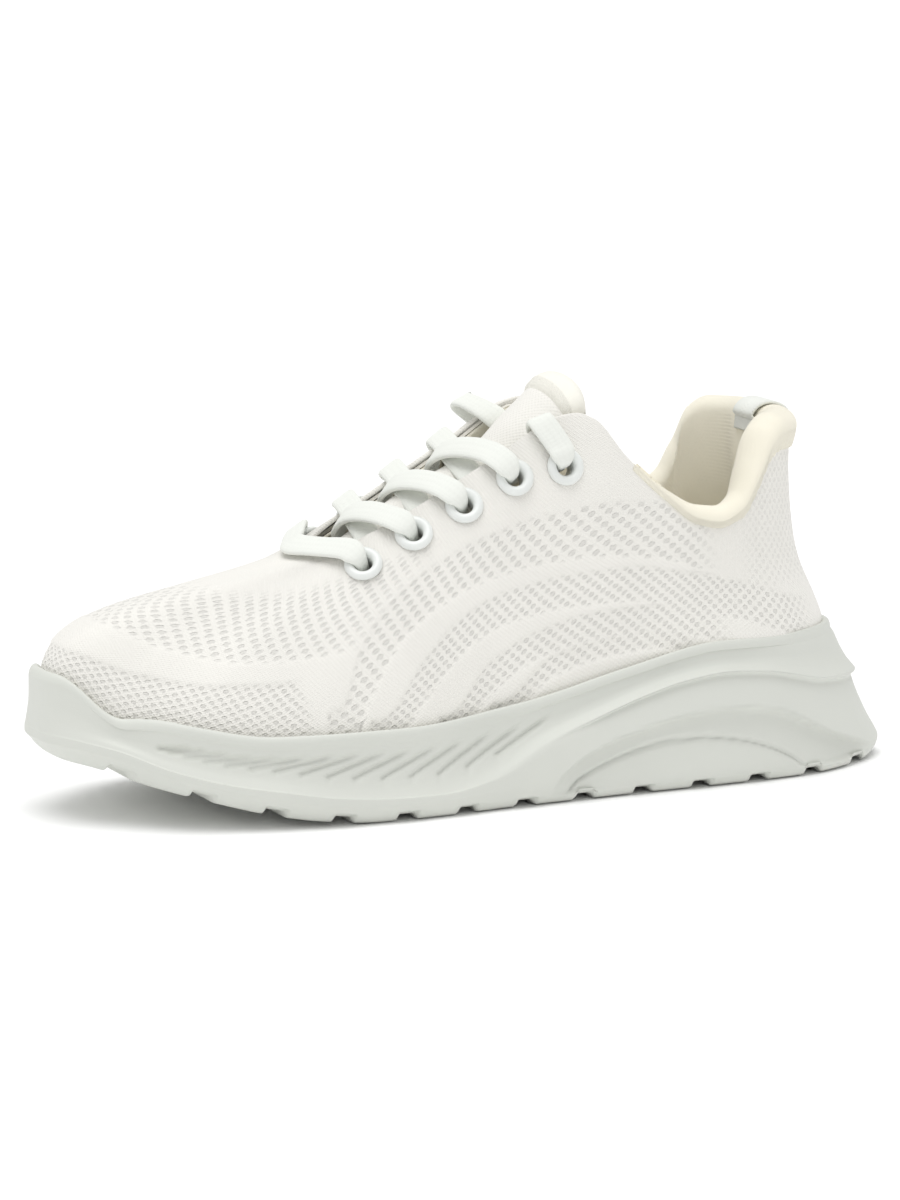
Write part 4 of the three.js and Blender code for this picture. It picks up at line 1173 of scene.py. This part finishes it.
# How far a strand of the lace is set along the shoe where it crosses the slot's edge.
ASKEW = 4.6


def slot_edge(x, sign):
    """A point of the slot's edge and the knit's outward normal there."""
    angle = sign * solve(.05, 1.9, lambda by: LAST.opening(np.array(by))[0] - x)
    return LAST.opening(np.array(angle)), LAST.normal(angle, .985)


def station(side, i, askew):
    """Gives at(reach, height, lean, bunched): a station of the lace near an eyelet, going to the slot."""
    here = SPOTS[side][i]
    normal = here["normal"]
    gate, _ = slot_edge(max(here["place"][0] + askew, LAST.s["throat"] + 2.5), here["sign"])
    way = gate - here["place"]
    way = unit(way - normal * (way @ normal))

    def at(reach, height, lean, bunched):
        turned = normal * math.cos(lean) - way * math.sin(lean)
        return here["place"] + way * reach + normal * height, turned, bunched

    return at


def through(side, i, askew=-ASKEW):
    """Stations of the lace down through an eyelet: place, normal of the flat, and how far it is bunched."""
    into, out = station(side, i, askew), station(side, i, -askew)
    return [into(6.4, 2.7, 0, 0), into(4.1, 3.1, .2, .1), into(2.3, 2.5, .75, .55), into(1.2, .3, 1.4, 1),
            into(.9, -3, math.pi / 2, 1), into(.6, -6.2, math.pi / 2, 1),
            out(1.5, UNDER - .7, 2.4, .8), out(4.0, UNDER - 1.2, math.pi, .7)]


def crossing(i, side):
    """From inside one eyelet, under the slot's edge and over the tongue to the next on the other side."""
    other = "medial" if side == "lateral" else "lateral"
    start, end = SPOTS[side][i], SPOTS[other][i + 1]
    low, low_normal = slot_edge(start["place"][0] + ASKEW, start["sign"])
    high, high_normal = slot_edge(end["place"][0] - ASKEW, end["sign"])
    upward = unit(np.array([-.54, 0, 1]))
    over = other == "lateral"
    # The strands that end on the lateral side lie on top of the others, tipped a little towards the toe.
    heights = (-1.6, 1.9, 3.3, 3.6, 3.0) if over else (-3.4, -1.8, -.9, -.2, 1.2)
    facing = unit(np.array([-1.0, 0, 1])) if over else upward
    stations = [(low - low_normal * 5.4, low_normal, .5)]
    for part, height in zip((.12, .32, .5, .7, .88), heights):
        flat = unit(mix(facing, high_normal, part ** 3))
        stations.append((mix(low, high, part) + upward * height, flat, 0))
    stations.append((high + high_normal * 2.6, high_normal, 0))
    return [(place, -normal, bunched) for place, normal, bunched in stations]


def tuck(side):
    """Out of the last eyelet, over the slot's edge and down inside it. The medial side is a slack loop."""
    here = SPOTS[side][4]
    at = station(side, 4, -ASKEW)
    edge, normal = slot_edge(here["place"][0] - 5.5, here["sign"])
    inward = here["inward"] * [.3, 1, .4]
    slack = 3.5 if side == "medial" else 0.0
    forward = np.array([-1.3, 0, -.2]) * slack
    return [(edge + normal * (2.5 + slack) + forward, normal, 0),
            (edge + inward * 3.2 + normal * (1.2 + slack) + forward, unit(normal * .6 + inward), 0),
            (edge + inward * 3.6 - normal * 3.4 + forward * .4, unit(inward), .1),
            (edge - inward * 1.5 - normal * 8.0, -normal, .4), at(3.5, UNDER - 3.5, math.pi, .8)]


def strand(side):
    """Half of the lace: criss-crossed from the first eyelet to the fourth, out of the fifth and tucked in."""
    stations = []
    for i in range(4):
        flip = -1 if i % 2 else 1
        stations += [(p, flip * n, b) for p, n, b in through(side, i)]
        if i < 3:
            stations += [(p, flip * n, b) for p, n, b in crossing(i, side)]
            side = "medial" if side == "lateral" else "lateral"
    return stations + [(p, -n, b) for p, n, b in [*through(side, 4)[::-1], *tuck(side)]]


def ribbon(name, stations, slices, finish, width=None):
    """A flat tubular braid along its stations."""
    width = width or curve((0, LAST.s["lace_width"]), (1, 4.6), (2, 2.8))
    thick = curve((0, LAST.s["lace_thickness"]), (1, 3.0), (2, 2.0))
    count = slices + 1
    path = catmull(np.array([p for p, _, _ in stations]), count)
    window = np.hanning(27)[1:-1]
    window /= window.sum()

    def along_path(values):
        """One value to a station, spread over the slices and smoothed."""
        spread = np.interp(np.linspace(0, len(values) - 1, count), range(len(values)), values)
        return np.convolve(np.pad(spread, len(window) // 2, "edge"), window, "valid")

    flats = np.stack([along_path([n[i] for _, n, _ in stations]) for i in range(3)], -1)
    bunched = along_path([b for _, _, b in stations])
    tangent = unit(np.gradient(path, axis=0))
    normal = unit(flats - tangent * (flats * tangent).sum(-1, keepdims=True))
    across = np.cross(tangent, normal)
    length = np.concatenate([[0], np.cumsum(np.linalg.norm(np.diff(path, axis=0), axis=1))])
    end_rows = 3

    def at_row(u):
        row = u * (slices + 2 * end_rows) - end_rows
        i = np.clip(np.rint(row).astype(int), 0, slices)
        out = np.clip(np.maximum(-row, row - slices), 0, end_rows) / end_rows
        return i, out

    def place_ribbon(u, v):
        i, out = at_row(u)
        turn = v * TURN
        cosine, sine = np.cos(turn), np.sin(turn)
        shrink = np.sqrt(np.maximum(0, 1 - out ** 2))
        side = np.sign(cosine) * np.abs(cosine) ** .62 * width(bunched[i]) / 2 * shrink
        high = np.sign(sine) * np.abs(sine) ** .85 * thick(bunched[i]) / 2 * shrink
        # The braid's flat dips a little along its middle.
        high = high * (1 - .16 * (1 - np.abs(cosine)) * (1 - np.clip(bunched[i], 0, 1)))
        return path[i] + across[i] * side[:, None] + normal[i] * high[:, None]

    surface = lambda u, v: (length[at_row(u)[0]] * MM, v * 2)
    made = grid(name, slices + 2 * end_rows, 24, place_ribbon, {"surface": surface})
    dress(made, finish)
    return made, path


class SHOE_OT_lace(bpy.types.Operator):
    """The flat braided lace: a bar over the throat and three crossings over the tongue"""
    bl_idname = "shoe.lace"
    bl_label = "Lace"

    def execute(self, context):
        throat = LAST.opening(np.array(0.))
        lean = unit(np.array([-.8, 0, .8]))

        def shoulder(sign):
            edge, normal = slot_edge(LAST.s["throat"] + 2.5, sign)
            return edge + normal * 2.6 + np.array([-1.6, 0, 0]), unit(normal + lean * .6), 0

        bar = [shoulder(1), (throat + lean * 2.4 + np.array([-2.2, 0, .6]), lean, 0), shoulder(-1)]
        laced = [*strand("lateral")[::-1], *bar, *strand("medial")]
        lace, _ = ribbon("lace_braid", laced, 1500, lace_material("polyester_braid_flat", tint("lace")))
        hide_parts("lace")
        return {"FINISHED"}


class SHOE_OT_lace_ends(bpy.types.Operator):
    """The two free ends, tucked down inside the quarters, with their tips"""
    bl_idname = "shoe.lace_ends"
    bl_label = "Lace ends"

    def execute(self, context):
        braid = lace_material("polyester_braid_ends", tint("lace"))
        film = plastic_material("acetate_tip_film", tint("eyelet"), .15)
        for side, sign in (("lateral", 1), ("medial", -1)):
            here = SPOTS[side][4]
            start = station(side, 4, -ASKEW)(-2.4, UNDER - .4, 0, 0)[0]
            # Ring angle, height up the rib, depth and bunching, down the inside of the quarter.
            wall = [(1.61, .6, 7, 0), (1.58, .46, 6.5, 0), (1.48, .36, 6.5, 0), (1.34, .3, 7, 0),
                    (1.2, .27, 8, 0), (1.08, .26, 9.5, .6)]
            stations = [(LAST.at(sign * a, up, depth), LAST.normal(sign * a, up), b)
                        for a, up, depth, b in wall]
            heading = unit(stations[-1][0] - stations[-2][0])
            tail = lambda by: (stations[-1][0] + heading * by, stations[-1][1], 2)
            route = [(start, here["normal"], 1), *stations, tail(6), tail(22)]
            width = curve((0, 6.6), (1, 4.2), (2, 2.6))
            piece, path = ribbon(f"lace_tail_{side}", route, 220, braid, width)
            tip = aglet(f"lace_tip_{side}", tail(23.3)[0], -heading)
            dress(tip, film)
            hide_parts(f"aglet_{side}")
            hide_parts(f"lace_end_{side}")
            # Every eighth point of the path, and its end.
            kept = [*path[:-1:8], path[-1]]
            points = [tuple((p + LAST.shift) * MM) for p in kept]
            length = sum(math.dist(a, b) for a, b in zip(points, points[1:]))
            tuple(points[0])
        return {"FINISHED"}


def aglet(name, place, normal):
    """The plastic tip: a crimped sleeve with a rounded, closed end."""
    rounded = [(2.4 * math.sin(a), 2.4 - 2.4 * math.cos(a)) for a in np.linspace(.35, math.pi / 2, 6)]
    profile = [(.6, .05), *rounded, (2.4, 19.4), (2.2, 20), (1.9, 20), (1.9, 1.5), (.6, .9)]
    tip = lathe(name, profile, place, normal, 32)
    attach(tip, "shoe")
    return tip


# ---------------------------------------------------------------- pieces kept from the frame
class SHOE_OT_inner_parts(bpy.types.Operator):
    """Finishes for the pieces inside the shoe, whose shape stays as it is"""
    bl_idname = "shoe.inner_parts"
    bl_label = "Inner parts"

    def execute(self, context):
        board = board_material("cellulose_board", tint("board"), 1.8)
        stiff = board_material("nonwoven_stiffener", tint("board"), .8)
        sponge = sponge_material("open_cell_foam", tint("cream"))
        finishes = {"strobel_board": board, "toe_puff": stiff, "heel_counter": stiff,
                    "eyestay_backing_lateral": stiff, "eyestay_backing_medial": stiff, "collar_foam": sponge,
                    "tongue_foam": sponge}
        for name, finish in finishes.items():
            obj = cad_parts[name]
            for slot in obj.material_slots:
                slot.material = finish
        return {"FINISHED"}


# ---------------------------------------------------------------- stage
SKY_STRENGTH = .64
LAMP_STRENGTH = 1.65
LAMP_SPREAD = math.radians(50)
LAMP_DIRECTION = Vector((.12, .08, -1))
CAMERA_AZIMUTH = math.radians(-24)
CAMERA_ELEVATION = math.radians(10.16)
CAMERA_DISTANCE = 1.7
AIM_HEIGHT = .055


class SHOE_OT_stage(bpy.types.Operator):
    """White studio floor, soft light and the camera"""
    bl_idname = "shoe.stage"
    bl_label = "Stage"

    def execute(self, context):
        bpy.ops.object.select_all(action="DESELECT")
        bpy.ops.mesh.primitive_plane_add(size=12, location=(0, 0, -.0002))
        floor = bpy.context.object
        floor.name = "studio_floor"
        sweep = material("matt_white_sweep", {"Base Color": (*tint("floor"), 1), "Roughness": 1.0,
                                              "Specular IOR Level": 0.0})
        floor.data.materials.append(sweep)
        world = context.scene.world or bpy.data.worlds.new("studio")
        context.scene.world = world
        world.use_nodes = True
        background = world.node_tree.nodes["Background"]
        background.inputs["Color"].default_value = (1, 1, 1, 1)
        background.inputs["Strength"].default_value = SKY_STRENGTH
        bpy.ops.object.light_add(type="SUN")
        lamp = bpy.context.object
        lamp.name = "overhead_softbox"
        lamp.data.energy = LAMP_STRENGTH
        lamp.data.angle = LAMP_SPREAD
        lamp.rotation_mode = "QUATERNION"
        lamp.rotation_quaternion = LAMP_DIRECTION.to_track_quat("-Z", "Y")
        context.scene.view_settings.view_transform = "Standard"
        camera()
        return {"FINISHED"}


def camera():
    """Low, from the toe's side of the lateral face, through a long lens."""
    level = math.cos(CAMERA_ELEVATION)
    back = Vector((math.sin(CAMERA_AZIMUTH) * level, -math.cos(CAMERA_AZIMUTH) * level,
                   math.sin(CAMERA_ELEVATION)))
    target = Vector(LAST.shift * MM) + Vector((0, 0, AIM_HEIGHT))
    bpy.ops.object.camera_add(location=target + back * CAMERA_DISTANCE)
    eye = bpy.context.object
    eye.name = "camera"
    eye.rotation_mode = "QUATERNION"
    eye.rotation_quaternion = (-back).to_track_quat("-Z", "Y")
    eye.data.sensor_width = 36
    eye.data.lens = 164.1
    eye.data.shift_x = -.0135
    eye.data.shift_y = .0061
    eye.data.clip_end = 50
    bpy.context.scene.camera = eye


# ---------------------------------------------------------------- add-on
OPERATORS = (SHOE_OT_stage, SHOE_OT_lace_ends, SHOE_OT_lace, SHOE_OT_sole, SHOE_OT_knit,
             SHOE_OT_linings, SHOE_OT_collar, SHOE_OT_tape, SHOE_OT_insole, SHOE_OT_tongue,
             SHOE_OT_eyelets, SHOE_OT_inner_parts)


class SHOE_PT_panel(bpy.types.Panel):
    """Builds the shoe piece by piece"""
    bl_label = "Knit running shoe"
    bl_idname = "SHOE_PT_panel"
    bl_space_type = "VIEW_3D"
    bl_region_type = "UI"
    bl_category = "Shoe"

    def draw(self, context):
        for group in (context.scene.shoe_sizes, context.scene.shoe_colours):
            column = self.layout.column(align=True)
            for key in group.__annotations__:
                column.prop(group, key)
        for operator in OPERATORS:
            self.layout.operator(operator.bl_idname)


CLASSES = (ShoeSizes, ShoeColours, *OPERATORS, SHOE_PT_panel)


def register():
    for cls in CLASSES:
        bpy.utils.register_class(cls)
    bpy.types.Scene.shoe_sizes = bpy.props.PointerProperty(type=ShoeSizes)
    bpy.types.Scene.shoe_colours = bpy.props.PointerProperty(type=ShoeColours)


def unregister():
    del bpy.types.Scene.shoe_sizes
    del bpy.types.Scene.shoe_colours
    for cls in reversed(CLASSES):
        bpy.utils.unregister_class(cls)


def main():
    global LAST, SPOTS, TONGUE
    register()
    LAST = Last()
    SPOTS = {side: [spot(side, i + 1) for i in range(5)] for side in ("lateral", "medial")}
    TONGUE = Tongue()
    for operator in OPERATORS:
        group, name = operator.bl_idname.split(".")
        if "FINISHED" not in getattr(getattr(bpy.ops, group), name)():
            raise RuntimeError(operator.bl_label + " wasn't made")


if __name__ == "__main__":
    main()
